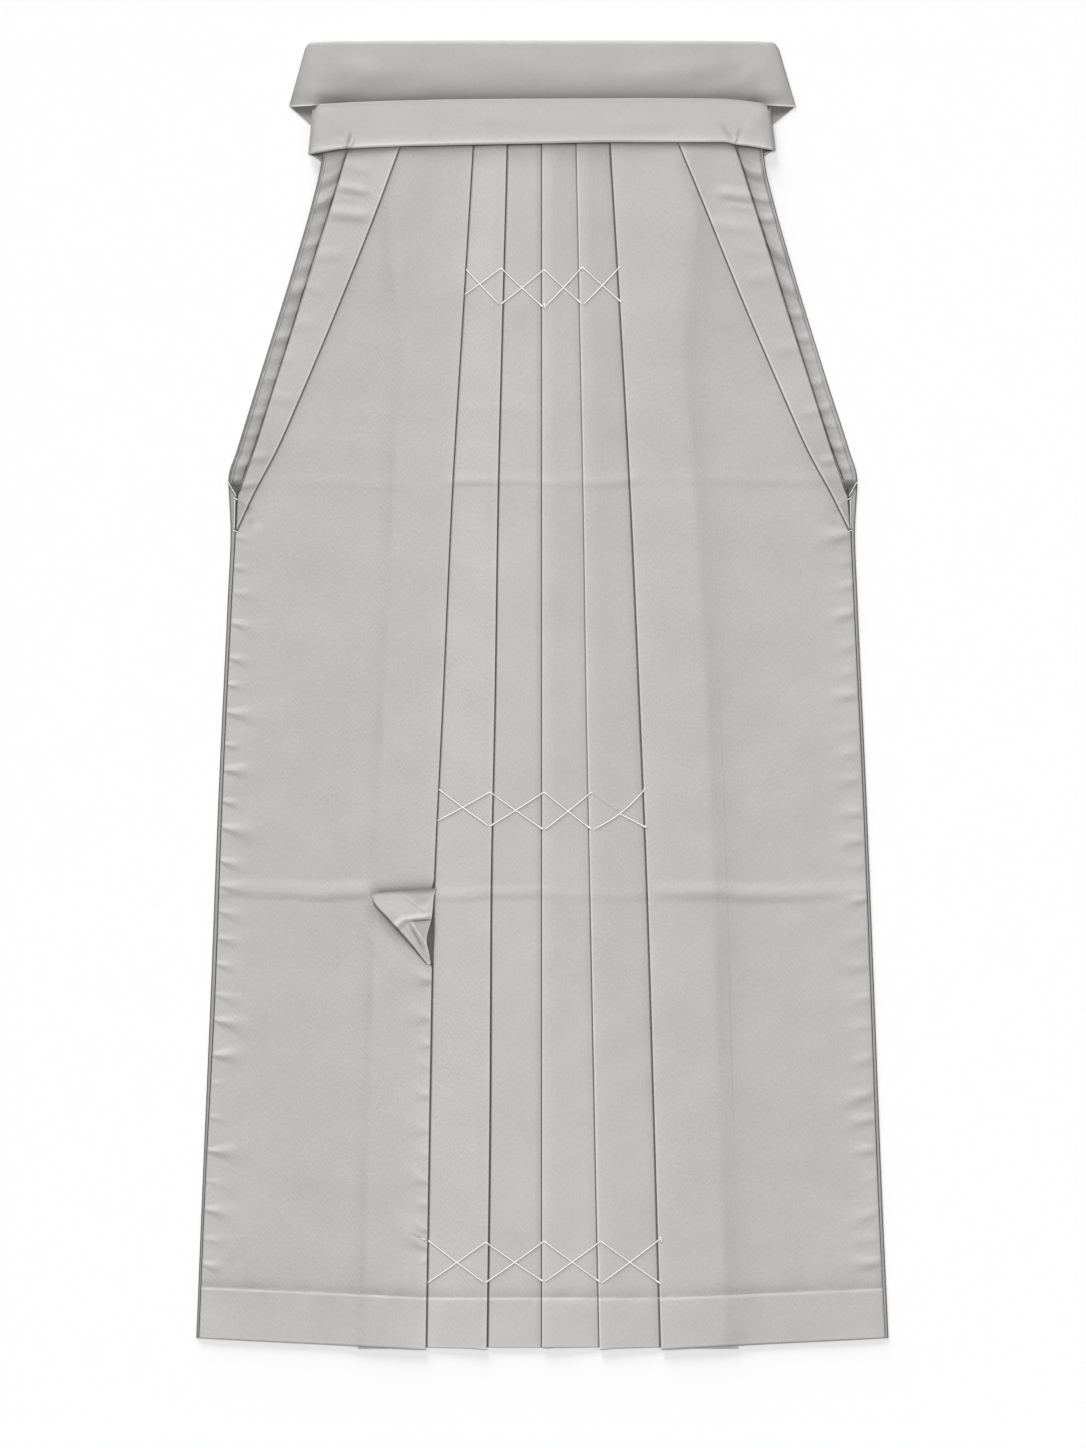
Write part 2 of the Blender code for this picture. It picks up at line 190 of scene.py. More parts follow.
# ---- reading the tables ----
def read(rows, name, place):
    """A column's value at any place along the table's first column: smooth, with no overshoot."""
    x, y = next(iter(rows.values())), rows[name]
    step = np.diff(x)
    slope = np.diff(y) / step
    before, after = slope[:-1], slope[1:]
    weight = 1 / np.maximum(np.abs(before), 1e-9) + 1 / np.maximum(np.abs(after), 1e-9)
    inner = np.where(before * after > 0, np.sign(before) * 2 / weight, 0)
    tangent = np.concatenate(([slope[0]], inner, [slope[-1]]))
    row = np.clip(np.searchsorted(x, place) - 1, 0, len(step) - 1)
    share = np.clip((place - x[row]) / step[row], 0, 1)
    lead, trail = tangent[row] * step[row], tangent[row + 1] * step[row]
    return (y[row] * (1 + 2 * share) * (1 - share) ** 2 + lead * share * (1 - share) ** 2
            + y[row + 1] * share ** 2 * (3 - 2 * share) + trail * share ** 2 * (share - 1))


def rows_of(rows):
    """The rows of a table, one tuple of numbers each."""
    return list(zip(*rows.values()))


def ease(value, start, end):
    """A smooth step from 0 at start to 1 at end."""
    share = np.clip((value - start) / (end - start), 0, 1)
    return share * share * (3 - 2 * share)


def bump(offset, half_width):
    """A soft ridge of height 1."""
    share = np.clip(np.abs(offset) / half_width, 0, 1)
    return (1 - share ** 2) ** 2


def fade(distance, width, power=1):
    """1 up to a line, falling away beyond it."""
    return np.exp(-(np.clip(distance, 0, None) / width) ** power)


def spot(offset, width):
    """A bell-shaped line of height 1."""
    return np.exp(-(offset / width) ** 2)


def hem_rise(across):
    """How far the outline of the hem rises towards the sides."""
    return HEM_SLOPE * np.clip(np.abs(across) - HEM_FLAT, 0, None)


def inside_seams(across, down):
    """Distance in from the nearer side seam."""
    return np.minimum(across - read(EDGES, "front_left", down), read(EDGES, "front_right", down) - across)


def tie_rise(across, down):
    """How far the folded ties underneath raise the cloth."""
    return TIE_RISE * ease(np.abs(across), 76, 112) * ease(down, 168, 52)


# ---- the soft relief of the cloth ----
def swell_waves(seed, count, shortest, longest):
    """Waves as rows of (phase, heading, length)."""
    draw = np.random.default_rng(seed)
    return [(draw.uniform(0, 2 * pi), draw.uniform(0, 2 * pi), draw.uniform(shortest, longest))
            for _ in range(count)]


LONG_SWELL = swell_waves(11, 12, 60, 160)
SHORT_SWELL = swell_waves(12, 16, 18, 45)
SEAM_SWELL = swell_waves(21, 14, 14, 40)


def swell(waves, across, down):
    """A gentle uneven swell between -1 and 1."""
    return sum(np.sin((across * np.cos(heading) + down * np.sin(heading)) * 2 * pi / length + phase)
               for phase, heading, length in waves) / len(waves)


def ridge(across, down, x0, y0, x1, y1, height, half_width):
    """A soft ridge along a line, fading out at both ends."""
    length = np.hypot(x1 - x0, y1 - y0)
    along = ((across - x0) * (x1 - x0) + (down - y0) * (y1 - y0)) / length
    beside = ((across - x0) * (y1 - y0) - (down - y0) * (x1 - x0)) / length
    ends = ease(along, -0.15 * length, 0.3 * length) * ease(along, 1.15 * length, 0.7 * length)
    return height * ends * bump(beside, half_width)


def add_ridges(height, rows, across, down):
    """The height with every ridge of a table added to it."""
    for row in rows_of(rows):
        height += ridge(across, down, *row)
    return height


def pucker_places(seed, start, end, shortest, longest):
    """Uneven places along a seam, as rows of (down, reach, steepness, droop)."""
    draw = np.random.default_rng(seed)
    places = []
    while start < end:
        places.append((start, draw.uniform(5, 12), draw.uniform(0.06, 0.34), draw.uniform(0, 0.35)))
        start += draw.uniform(shortest, longest)
    return places


SEAM_PUCKERS = {-1: pucker_places(3, 299, 872, 18, 27), 1: pucker_places(5, 297, 872, 18, 27)}
FOLD_PUCKERS = [(down, reach, 0.45 * steepness, -2.2 * droop)
                for down, reach, steepness, droop in pucker_places(8, 636, 850, 12, 34)]


def puckers(inside, down, places, point=1.3, spread=0.42):
    """Small fans that run in from a seam or a folded edge, narrow there and wider inside."""
    height = 0
    run = np.clip(inside, 0, None)
    half_width = point + spread * run
    for place, reach, steepness, droop in places:
        height += (PUCKER_HEIGHT * steepness * half_width * (fade(run, reach, 1.5) * (inside > -1.5))
                   * bump(down - place - droop * run, half_width))
    return height


def relief(across, down):
    """Creases and swell of the front, as height above the flat layers."""
    height = 0.50 * swell(LONG_SWELL, across, down) + 0.15 * swell(SHORT_SWELL, across, down)
    height += (0.22 * swell(SEAM_SWELL, across * 0.45, down) * spot(inside_seams(across, down) - 14, 16)
               * ease(down, 270, 310))
    for centre, left, right, size, above, below in rows_of(CREASES):
        reach = ease(across, left - 4, left + 12) * ease(across, right + 4, right - 12)
        wander = 1.1 * np.sin(across / 19 + centre) + 0.5 * np.sin(across / 6.7 + 2 * centre)
        uneven = 0.75 + 0.25 * np.sin(across / 27 + 1.7 * centre)
        offset = down - centre - wander
        height += size * uneven * reach * bump(offset, np.where(offset < 0, above, below))
    return add_ridges(height, RIDGES, across, down)


def hem_stitch_down(across):
    """Where the hem's stitches cross: level in the middle, rising towards the sides."""
    left_rise = 0.2 * ease(across, 60, 0) + 0.6 * ease(across, -60, -180)
    return HEM_STITCH - STITCH_SLOPE * np.clip(np.abs(across) - HEM_FLAT, 0, None) - left_rise


def hem_relief(across, down):
    """The cloth dips to the hem's stitches and rises again over the doubled hem."""
    offset = down - hem_stitch_down(across)
    uneven = 0.8 + 0.25 * np.sin(across / 7.3) + 0.2 * np.sin(across / 2.9 + 1)
    dip = -0.20 * fade(-offset, 4.5, 2) * fade(offset, 0.9, 2)
    pulled = 0.10 * np.sin(across / 3.9 + np.sin(across / 17)) * spot(offset, 6)
    return dip * uneven + 0.08 * ease(offset, 0.2, 2) + pulled


def puff(across, down):
    """How far the cloth stands off the layer below: nothing at the side seams, more inside them."""
    most = PUFF[0] + (PUFF[1] - PUFF[0]) * ease(across, -90, 90)
    return most * (1 - fade(inside_seams(across, down), PUFF_REACH)) * (0.3 + 0.7 * ease(down, 0, 50))


def climb(across, down, side):
    """How far an outer panel has risen onto its hidden turn at a place."""
    share = np.clip(1 - (across - read(STEPS, WORDS[side], down)) * side / FOOT, 0, 1)
    return 2 * PITCH * share ** CLIMB_LEAN


def band_shadow(across, down):
    """Shade of the cloth close under the front band."""
    below = down + read(FRONT_BAND, "lower", across)
    pinch = 0.95 * bump(np.abs(across) - 147.3, 4) * fade(below, 2.6, 2)
    reach = 3.2 + 0.8 * ease(np.abs(across), 60, 150)
    return (1 - 0.85 * fade(below, reach, 1.7)) * (1 - pinch)


def hem_tone(across, down):
    """Painted shade above the hem's stitches and a painted highlight on them; along the lower edge a painted
    highlight, shading to dark at the sides.
    """
    offset = down - hem_stitch_down(across)
    from_edge = HEM_DOWN - hem_rise(across) - down
    uneven = 0.55 + 0.60 * np.sin(across / 2.1) * np.sin(across / 5.3 + 1) + 0.30 * np.sin(across / 13)
    outer = ease(np.abs(across), 60, 110)
    above = 0.75 + 0.25 * np.sin(across / 21 + 0.6)
    return (1 - 0.21 * above * fade(-offset - 0.6, 6.5, 1.3) * (offset < -0.4)
            + 0.11 * uneven * spot(offset - 0.2, 0.55) + 0.06 * spot(from_edge - 1.9, 0.7)
            - (0.60 * outer - 0.30) * spot(from_edge, 0.9))


# ---- shells ----
def unit(vectors):
    return vectors / np.maximum(np.linalg.norm(vectors, axis=-1, keepdims=True), 1e-12)


def world(across, down, up):
    """Points in metres from millimetres across, down and up."""
    across, down, up = np.broadcast_arrays(across, down, up)
    return np.stack((across, LENGTH / 2 - BACK_BAND_TOP - down, up), axis=-1) * MM


RIM_STEPS = 3


def rim(points, half, shade):
    """Rounds the free edges of a sheet with a few extra rows and columns of falling thickness."""
    angles = [pi / 2 * (step + 1) / (RIM_STEPS + 0.35) for step in range(RIM_STEPS)]
    for _ in range(2):
        for end, inner in ((0, 1), (-1, -2)):
            outward = unit(points[end] - points[inner])
            base = points[end] - outward * half[end][..., None]
            points[end] = base
            added = ([base + outward * half[end][..., None] * np.sin(angle) for angle in angles],
                     [half[end] * np.cos(angle) for angle in angles],
                     [shade[end]] * RIM_STEPS)
            points, half, shade = [np.concatenate((old, new) if end else (new[::-1], old))
                                   for old, new in zip((points, half, shade), added)]
        points, half, shade = [part.swapaxes(0, 1).copy() for part in (points, half, shade)]
    return points, half, shade


def add_object(name, data):
    item = bpy.data.objects.new(name, data)
    bpy.context.scene.collection.objects.link(item)
    return item


def add_mesh(name, vertices, faces, shade):
    data = bpy.data.meshes.new(name)
    data.from_pydata(vertices.tolist(), [], faces)
    data.validate()
    data.shade_smooth()
    tone = data.attributes.new("shade", "FLOAT", "POINT")
    tone.data.foreach_set("value", np.ascontiguousarray(shade, np.float32))
    return add_object(name, data)


def every_second(count):
    """Every second index, and the last one."""
    return sorted({*range(0, count, 2), count - 1})


def shell(name, points, half, shade, node, material):
    """A closed thin shell round a sheet of points, riding on the garment in place of its solid.

    The underside keeps every second row and column, and a band of faces joins it to the upper side.
    """
    half = np.broadcast_to(np.asarray(half, float) * MM, points.shape[:2]).copy()
    points, half, shade = rim(points.copy(), half, shade.copy())
    rows, columns = points.shape[:2]
    normals = unit(np.cross(np.gradient(points, axis=1), -np.gradient(points, axis=0)))
    upper = points + normals * half[..., None]
    kept = np.ix_(every_second(rows), every_second(columns))
    under = (points - normals * half[..., None])[kept]
    index = np.arange(rows * columns).reshape(rows, columns)
    low = np.arange(under.shape[0] * under.shape[1]).reshape(under.shape[:2]) + rows * columns
    below = dict(zip(index[kept].ravel().tolist(), low.ravel().tolist()))
    top_faces = np.stack((index[:-1, :-1], index[1:, :-1], index[1:, 1:], index[:-1, 1:]), -1)
    low_faces = np.stack((low[:-1, :-1], low[:-1, 1:], low[1:, 1:], low[1:, :-1]), -1)
    ring = np.concatenate((index[0, :-1], index[:-1, -1], index[-1, :0:-1], index[:0:-1, 0])).tolist()
    joints = [place for place, top in enumerate(ring) if top in below] + [len(ring)]
    ring.append(ring[0])
    edges = [ring[start:end + 1] for start, end in zip(joints, joints[1:])]
    faces = (top_faces.reshape(-1, 4).tolist() + low_faces.reshape(-1, 4).tolist()
             + [edge + [below[edge[-1]], below[edge[0]]] for edge in edges])
    vertices = np.concatenate((upper.reshape(-1, 3), under.reshape(-1, 3)))
    piece = add_mesh(name, vertices, faces, np.concatenate((shade.ravel(), shade[kept].ravel())))
    dress(piece, material)
    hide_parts(node)
    return piece


def dress(piece, material):
    piece.data.materials.append(material)
    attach(piece, BODY)


# ---- the paths of the layers across the garment ----
class Path:
    """A layer's path across the garment at every row: columns of across, level, hem rise and shade."""

    def __init__(self, downs):
        self.downs = downs
        self.columns = []

    def add(self, across, level, rise, shade=1):
        self.columns.append([np.broadcast_to(np.asarray(part, float), self.downs.shape)
                             for part in (across, level, rise, shade)])

    def run(self, start, end, count, level=1, next_level=None, rise=0, next_rise=None, first=0,
            lean=None, gather=0):
        """Columns from start to end, easing from one level to the next.

        lean bends the climb towards its end; gather draws the columns together at both ends.
        """
        next_level = level if next_level is None else next_level
        next_rise = rise if next_rise is None else next_rise
        for step in range(first, count + 1):
            even = step / count
            share = even + gather * (np.sin(2 * pi * even) * -0.5 / pi)
            climbed = ease(share, 0, 1) if lean is None else share ** lean
            self.add(start + (end - start) * share, level + (next_level - level) * climbed,
                     rise + (next_rise - rise) * share)

    def places(self, line, offsets, level, rise, scale=1):
        """Columns at given distances from a line."""
        for offset in offsets:
            self.add(line + offset * scale, level, rise)

    def fold(self, line, side, level, next_level, rise, count=8, light=0):
        """Round a folded edge whose outside lies on a line; side is 1 where it points right; painted shade
        darkens its lower half and light adds a painted highlight.
        """
        centre = line - side * (TURN_RADIUS + SHELL / 2)
        middle = (level + next_level) / 2
        half = (level - next_level) / 2
        for angle in np.linspace(pi / 2, -pi / 2, count + 1):
            self.add(centre + side * TURN_RADIUS * np.cos(angle), middle + half * np.sin(angle), rise,
                     1 + light - 0.75 * ease(angle, pi / 5, -pi / 5))

    def pleat(self, start, fold, side, light):
        """From beside the last fold up to the next one, round it, back under it and just past it."""
        under = fold - side * UNDERLAP
        self.run(start, under, 19, 1, 3, PLEAT_HEM, HIDDEN_HEM, first=1, lean=1.15)
        self.run(under, fold - side * 5, 2, 3, rise=HIDDEN_HEM, next_rise=0, first=1)
        self.places(fold, side * NEAR_TURN[1:], 3, 0)
        self.fold(fold, side, 3, HIDDEN_LEVEL, 0, light=light)
        self.fold(under, -side, HIDDEN_LEVEL, 1, HIDDEN_HEM, count=4)
        self.run(under + side * 1.5, fold - side * 3.5, 2, 1, rise=PLEAT_HEM)
        self.places(fold, side * NEAR_FOLD, 1, PLEAT_HEM)

    def sheet(self, extra, tone, base=FRONT_LEVEL, soft=True):
        """The points of the sheet and their painted shade; soft adds the front's creases and swell, and
        painted shade under the band and at the hem.
        """
        across, level, rise, shade = [np.stack(part, axis=1) for part in zip(*self.columns)]
        flat_down = np.broadcast_to(self.downs[:, None], across.shape)
        down = flat_down - rise * np.clip(flat_down / HEM_DOWN, 0, None) ** 3
        up = base + (level - 1) * PITCH + tie_rise(across, down)
        if soft:
            up = up + relief(across, down) + puff(across, down) + hem_relief(across, down)
            shade = shade * band_shadow(across, down) * hem_tone(across, down)
        up = up + extra(across, down, level)
        return world(across, down, up), np.clip(shade * tone(across, down, level), DARKEST, None)

    def cloth(self, name, node, extra, tone):
        """A piece of the front's cloth along this path."""
        points, shade = self.sheet(extra, tone)
        return shell(name, points, SHELL / 2, shade, node, PANEL)


# ---- rows: close together where creases and stitches cross ----
FINE_BANDS = ((-1, 8, 1), (252, 264, 1.2), (560, 580, 1.1), (866, 876, 1.2),
              (876, 880.6, 0.45), (911, 920, 0.6))


def spaced_rows(top, bottom, coarse=ROW):
    """Distances below the waist line, closer together in the fine bands."""
    rows = [top]
    while rows[-1] < bottom - 0.3:
        steps = [fine for start, end, fine in FINE_BANDS if start - fine / 2 < rows[-1] < end]
        rows.append(rows[-1] + min([coarse] + steps))
    rows[-1] = bottom
    return np.array(rows)


# ---- materials ----
def new_material(name):
    """A material with two functions: one adds a node, the other sets or links its shader's sockets."""
    material = bpy.data.materials.new(name)
    material.use_nodes = True
    tree = material.node_tree

    def fill(node, values):
        for socket, value in values.items():
            socket = node.inputs[socket.replace("_", " ")]
            if isinstance(value, bpy.types.NodeSocket):
                tree.links.new(value, socket)
            else:
                socket.default_value = value

    def add(kind, output, settings=None, **values):
        node = tree.nodes.new("ShaderNode" + kind)
        for setting, value in (settings or {}).items():
            setattr(node, setting, value)
        fill(node, values)
        return node.outputs[output]

    def shader(**values):
        fill(tree.nodes["Principled BSDF"], values)

    return material, add, shader


def ramp(add, factor, low, high, start=0, end=1):
    """A colour between two, by a factor between start and end."""
    colour = add("ValToRGB", "Color", Fac=factor)
    first, last = colour.node.color_ramp.elements
    first.position, last.position = start, end
    first.color, last.color = (*low, 1), (*high, 1)
    return colour


def tone_and_painted_shade(add, colour):
    """The colour, scaled by the shade that the mesh holds: painted light and shade, and the threads' own
    tone.
    """
    shade = add("Attribute", "Fac", {"attribute_name": "shade"})
    return add("VectorMath", "Vector", {"operation": "SCALE"}, Vector=colour, Scale=shade)


def cloth_material(name, colour, twill=1):
    """Smooth satin-like cloth: fine wavy slanting lines, a faint grain and slow mottling."""
    material, add, shader = new_material(name)
    place = add("TexCoord", "Object")
    turned = add("Mapping", "Vector", Vector=place, Rotation=(0, 0, radians(TWILL_LEAN)))
    lines = add("TexWave", "Fac", Vector=turned, Scale=122, Distortion=9, Detail=3, Detail_Scale=0.7)
    grain = add("TexNoise", "Fac", Vector=place, Scale=400, Detail=3)
    mottle = add("TexNoise", "Fac", Vector=place, Scale=30, Detail=4)
    weave = add("Mix", "Result", Factor=0.76, A=lines, B=grain)
    tone = add("Mix", "Result", Factor=0.5, A=weave, B=mottle)
    low, high = [[part * level for part in colour] for level in (0.935, 1.065)]
    # the base colour carries the painted light and shade held in the mesh
    shader(Base_Color=tone_and_painted_shade(add, ramp(add, tone, low, high, 0.25, 0.75)), Roughness=0.42,
           Specular_IOR_Level=0.5, Sheen_Weight=0.25, Sheen_Roughness=0.4,
           Normal=add("Bump", "Normal", Strength=twill, Distance=TWILL_HEIGHT, Height=weave))
    return material


def thread_material():
    """White cotton thread with a fine twist."""
    material, add, shader = new_material("white_thread")
    twist = add("TexNoise", "Fac", Vector=add("TexCoord", "Object"), Scale=1500)
    colour = ramp(add, twist, (0.84, 0.84, 0.83), (0.95, 0.95, 0.94))
    shader(Base_Color=tone_and_painted_shade(add, colour), Roughness=0.6, Sheen_Weight=0.3)
    return material


PANEL = cloth_material("panel_cloth", (0.393, 0.386, 0.376), twill=0.7)
BACK = cloth_material("back_cloth", (0.395, 0.386, 0.373))
BANDS = cloth_material("band_cloth", (0.390, 0.383, 0.372), twill=0.4)
THREAD = thread_material()

# ---- the front panels and pleats ----
front_rows = spaced_rows(FRONT_TOP, HEM_DOWN)
panel_rows = spaced_rows(FRONT_TOP, HEM_DOWN, PANEL_ROW)
NEAR_FOLD = np.array((-2.5, -1.2, -0.4, 0, 0.35, 0.7, 1.1, 1.5, 2, 2.8, 4))
NEAR_EDGE = np.array((0, 0.3, 0.6, 1, 1.5, 2.2))
NEAR_TURN = np.array((-5, -3.2, -2.2, -1.5, -1))
UNDERLAP = 8                # how far a pleat is folded back under itself
HIDDEN_LEVEL = 1.9
PLEAT_LIGHT = 0.065         # the pleats are painted this much lighter than the panels
FLAP_TOP = 568.5            # the left panel is creased down to the three-cornered fold along this line
FLAP_START = -130           # from here on
FLAP_SLOPE = 0.07           # and rising this much to the right
FLAP_DOWN = 1.6             # the fold has slipped this far below its crease
LOWER_LAYER = 1.7           # the layers below this level are the ones that show between the folds
FIRST_TUCK = (-100.5, 828.3, -88.5, 833.6, 0.34, 1.5)    # painted shade of the tuck where the last thread starts

# Painted shade in spots at the lower end of each side pleat: across, down, how much narrower than
# long, shade and radius.
OPENING_SPOTS = (
    (221.3, 287.6, 1, 0.20, 4.5), (224.4, 278, 1.6, 0.28, 4.5),
    (222.9, 277.4, 1.5, 0.55, 2.4),
)
LEFT_GROOVES = (("fold_1", 0.40, -0.7, 1.7), ("fold_2", 0.35, -0.7, 1.7), ("fold_3", 0.30, 1, 3.4))
RIGHT_GROOVES = (("fold_5", 0.30, 1, 3.4), ("fold_4", 0.30, 1, 3.4))
fold_lines = {name: read(PLEATS, name, front_rows) for name in PLEATS}
fold_lines["fold_1"] = fold_lines["fold_1"] - read(PULL, "back", front_rows)


def folded_line(name, down):
    """Where a folded edge lies, the first one pulled back as PULL says."""
    line = read(PLEATS, name, down)
    return line - read(PULL, "back", down) if name == "fold_1" else line


def flap_top(across):
    """The crease that the three-cornered fold hangs from."""
    return FLAP_TOP - FLAP_SLOPE * (across - FLAP_START)


def near(distance, reach):
    """Closeness to a line on one of its sides: 1 at the line, falling away from it."""
    return fade(distance, reach) * (distance > -1)


def core(distance, width, soft=0.8):
    """Full just beside a line, for the given width, and gone a short way further."""
    return ease(distance, width + soft, width) * (distance > -1)


def gap(distance, width, soft, deep, wide, reach):
    """Painted shade: the dark line in the gap beside a folded edge and the soft shadow round it."""
    return deep * core(distance, width, soft) + wide * near(distance, reach)


def shine(distance, wide, narrow):
    """A painted highlight along the top of a folded edge."""
    return wide * near(distance, 7) + narrow * near(distance, 1.2)


def grooves(rows, across, down):
    """The cloth dips where it runs under each folded edge, given as (fold, depth, offset, half width)."""
    return sum(-depth * bump(across - folded_line(name, down) + offset, half_width)
               for name, depth, offset, half_width in rows)


def outer_panel(side, fold_name):
    """Outer panel: from the side seam over the hidden turn to its folded edge, and back under."""
    word, left = WORDS[side], side < 0
    edge = read(EDGES, "front_" + word, panel_rows)
    fold = folded_line(fold_name, panel_rows)
    turn = read(PLEATS, word + "_turn", panel_rows)
    step = read(STEPS, word, panel_rows)
    foot = step + side * FOOT
    near_edge = edge + (foot - edge) * 0.28
    path = Path(panel_rows)
    path.places(edge, -side * NEAR_EDGE, 1, hem_rise(edge))
    path.run(edge - side * NEAR_EDGE[-1], near_edge, 13, rise=hem_rise(edge), next_rise=hem_rise(near_edge),
             first=1, lean=1, gather=0.3)
    path.run(near_edge, foot, 14, rise=hem_rise(near_edge), next_rise=hem_rise(foot), first=1)
    path.run(foot, step, 10, 1, 3, hem_rise(foot), hem_rise(step), first=1, lean=CLIMB_LEAN)
    path.run(step, fold + side * 7, 15, 3, rise=hem_rise(step), next_rise=0, first=1)
    path.places(fold, -side * NEAR_TURN, 3, 0)
    path.fold(fold, -side, 3, HIDDEN_LEVEL, 0, count=6, light=0.12)
    path.run(fold + side * 2, turn + side * 4, 4, HIDDEN_LEVEL, rise=HIDDEN_HEM)

    def extra(across, down, level):
        added = puckers((read(EDGES, "front_" + word, down) - across) * side, down, SEAM_PUCKERS[side])
        if left:
            added += puckers(folded_line(fold_name, down) - across, down, FOLD_PUCKERS, 3, 0.7)
        return added

    # painted shade in gaps, spots and at the turn's foot; painted highlights by the fold and seam
    def tone(across, down, level):
        from_seam = (read(EDGES, "front_" + word, down) - across) * side
        from_strip = (read(SIDE_PLEATS, word + "_inner", down) - across) * side
        from_fold = (across - folded_line(fold_name, down)) * side
        outside = (across - read(STEPS, word, down)) * side
        uneven = 0.75 + 0.25 * np.sin(down / 31) + 0.2 * np.sin(down / 11 + side)
        depth, width = (0.155, 6.5) if left else (0.10, 9)
        soft = 1.8 + 3.2 * ease(down, 320, 180)
        dark = gap(from_seam, 0.2, 0.6, 0.20, 0.02 if left else 0.13, 2.6) * (down > 290)
        dark += 0.12 * near(from_strip, 4) * (down < 292)
        for spot_across, spot_down, stretch, shade, radius in OPENING_SPOTS:
            dark += shade * bump(np.hypot((across - side * spot_across) * stretch, down - spot_down), radius)
        dark += depth * uneven * fade(outside, width) * ease(outside, -soft, soft)
        light = (0.05 if left else 0.08) * near(from_fold, 9)
        light += 0.05 * near(from_fold, 1.4) + 0.022 * ease(outside, 1, -2)
        by_seam = 0.035 + 0.035 * ease(down, 480, 740) if left else 0.085
        light += by_seam * ease(down, 290, 350) * near(from_seam, 18)
        # on the left: the tuck's painted dark line and painted shadows round the three-cornered fold
        if left:
            dark += ridge(across, down, *FIRST_TUCK)
            light += 0.09 * ease(down, 600, 740) * near(from_fold, 14)
            beside = (read(CREASE_FOLD, "left", down - FLAP_DOWN) - across) * 0.7
            dark += 0.46 * fade(beside, 4.5) * (beside > -2) * ease(down, 572, 590) * ease(down, 618, 602)
            above = flap_top(across) + FLAP_DOWN - down
            dark += 0.72 * fade(above, 4.6, 1.3) * ease(across, -134, -122) * (above > -2.5)
        return 1 + light - dark

    return path.cloth("panel_" + word, "front_" + word, extra, tone)


panel_left = outer_panel(-1, "fold_1")
panel_right = outer_panel(1, "fold_5")


def left_pleats():
    """Two pleats and on under the middle pleat."""
    fold_1, fold_2, fold_3 = (fold_lines[name] for name in ("fold_1", "fold_2", "fold_3"))
    unpulled = read(PLEATS, "fold_1", front_rows)
    path = Path(front_rows)
    path.run(fold_lines["left_turn"] - 2, fold_1 - 4, 6, 1, rise=PLEAT_HEM)
    path.places(fold_1, NEAR_FOLD[:3], 1, PLEAT_HEM)
    for share in (0.35, 0.7):
        path.add(fold_1 - 0.4 + (unpulled - fold_1 + 0.4) * share, 1, PLEAT_HEM)
    path.places(unpulled, NEAR_FOLD[3:], 1, PLEAT_HEM)
    path.pleat(unpulled + 4, fold_2, 1, 0.13)
    path.run(fold_2 + 4, fold_3 - 4, 17, 1, rise=PLEAT_HEM, first=1)
    path.places(fold_3, -NEAR_FOLD[::-1][1:], 1, PLEAT_HEM)
    path.run(fold_3 + 2.5, fold_3 + 5, 1, 1, rise=PLEAT_HEM, first=1)

    def extra(across, down, level):
        return grooves(LEFT_GROOVES, across, down) * (level < LOWER_LAYER)

    # painted shade in the gaps beside the folds and in the pulled-back wedge; painted highlights on edges
    def tone(across, down, level):
        straight, second, third = (read(PLEATS, name, down) for name in ("fold_1", "fold_2", "fold_3"))
        wider = 0.4 * ease(down, 450, 700)
        beyond = 0.9 + 2.4 * bump(down - 600, 20)
        pulled = ease(straight - folded_line("fold_1", down), 0.3, 1.4)
        dark = 0.95 * core(across - straight, 0.65 + wider)
        dark += 0.90 * ease(across, straight + beyond, straight - 0.3) * pulled
        dark += core(across - second, 0.85 + 0.8 * wider)
        dark += gap(third - across, 0.65, 0.7, 0.90, 0.10, 2.2)
        light = shine(second - across, 0.03, 0.12) * (level > LOWER_LAYER)
        # the pleats are painted lighter, more so towards the hem and beside the first fold
        light += PLEAT_LIGHT + 0.03 * ease(down, 850, 880)
        light += 0.05 * ease(down, 600, 740) * near(across - straight, 10)
        return 1 + light - dark * (level < LOWER_LAYER)

    return path.cloth("pleats_left", "front_left", extra, tone)


def right_pleats():
    """Two pleats, the middle pleat, and back under it to the inner-leg seam."""
    fold_3, fold_4, fold_5 = (fold_lines[name] for name in ("fold_3", "fold_4", "fold_5"))
    path = Path(front_rows)
    path.run(fold_lines["right_turn"] + 2, fold_5 + 4, 6, 1, rise=PLEAT_HEM)
    path.places(fold_5, -NEAR_FOLD, 1, PLEAT_HEM)
    path.pleat(fold_5 - 4, fold_4, -1, 0.16)
    path.run(fold_4 - 4, fold_3 + 7.5, 17, 1, 3, rise=PLEAT_HEM, first=1, lean=1.15)
    path.run(fold_3 + 7.5, fold_3 + 5, 2, 3, rise=PLEAT_HEM, first=1)
    path.places(fold_3, -NEAR_TURN[1:], 3, PLEAT_HEM)
    path.fold(fold_3, -1, 3, HIDDEN_LEVEL, PLEAT_HEM, light=0.15)
    path.run(fold_3 + 2, fold_3 + 6.5, 3, HIDDEN_LEVEL, 1.4, rise=HIDDEN_HEM)

    def extra(across, down, level):
        return grooves(RIGHT_GROOVES, across, down) * (level < LOWER_LAYER)

    # painted shade in the gaps beside the folds, painted highlights on the folded edges, pleats painted
    # lighter
    def tone(across, down, level):
        third, fourth, fifth = (read(PLEATS, name, down) for name in ("fold_3", "fold_4", "fold_5"))
        dark = gap(fifth - across, 0.95, 0.8, 0.90, 0.12, 3)
        dark += gap(fourth - across, 0.45 + 0.3 * ease(down, 480, 700), 0.6, 0.84, 0.10, 2.2)
        light = shine(across - fourth, 0.04, 0.14) + shine(across - third, 0.04, 0.12)
        middle = ease(across, fourth + 3, fourth - 3)
        return (1 + light * (level > LOWER_LAYER) + PLEAT_LIGHT * (0.5 + 0.7 * middle)
                + 0.04 * ease(down, 500, 880) - dark * (level < LOWER_LAYER))

    return path.cloth("pleats_right", "front_right", extra, tone)


pleats_left = left_pleats()
pleats_right = right_pleats()

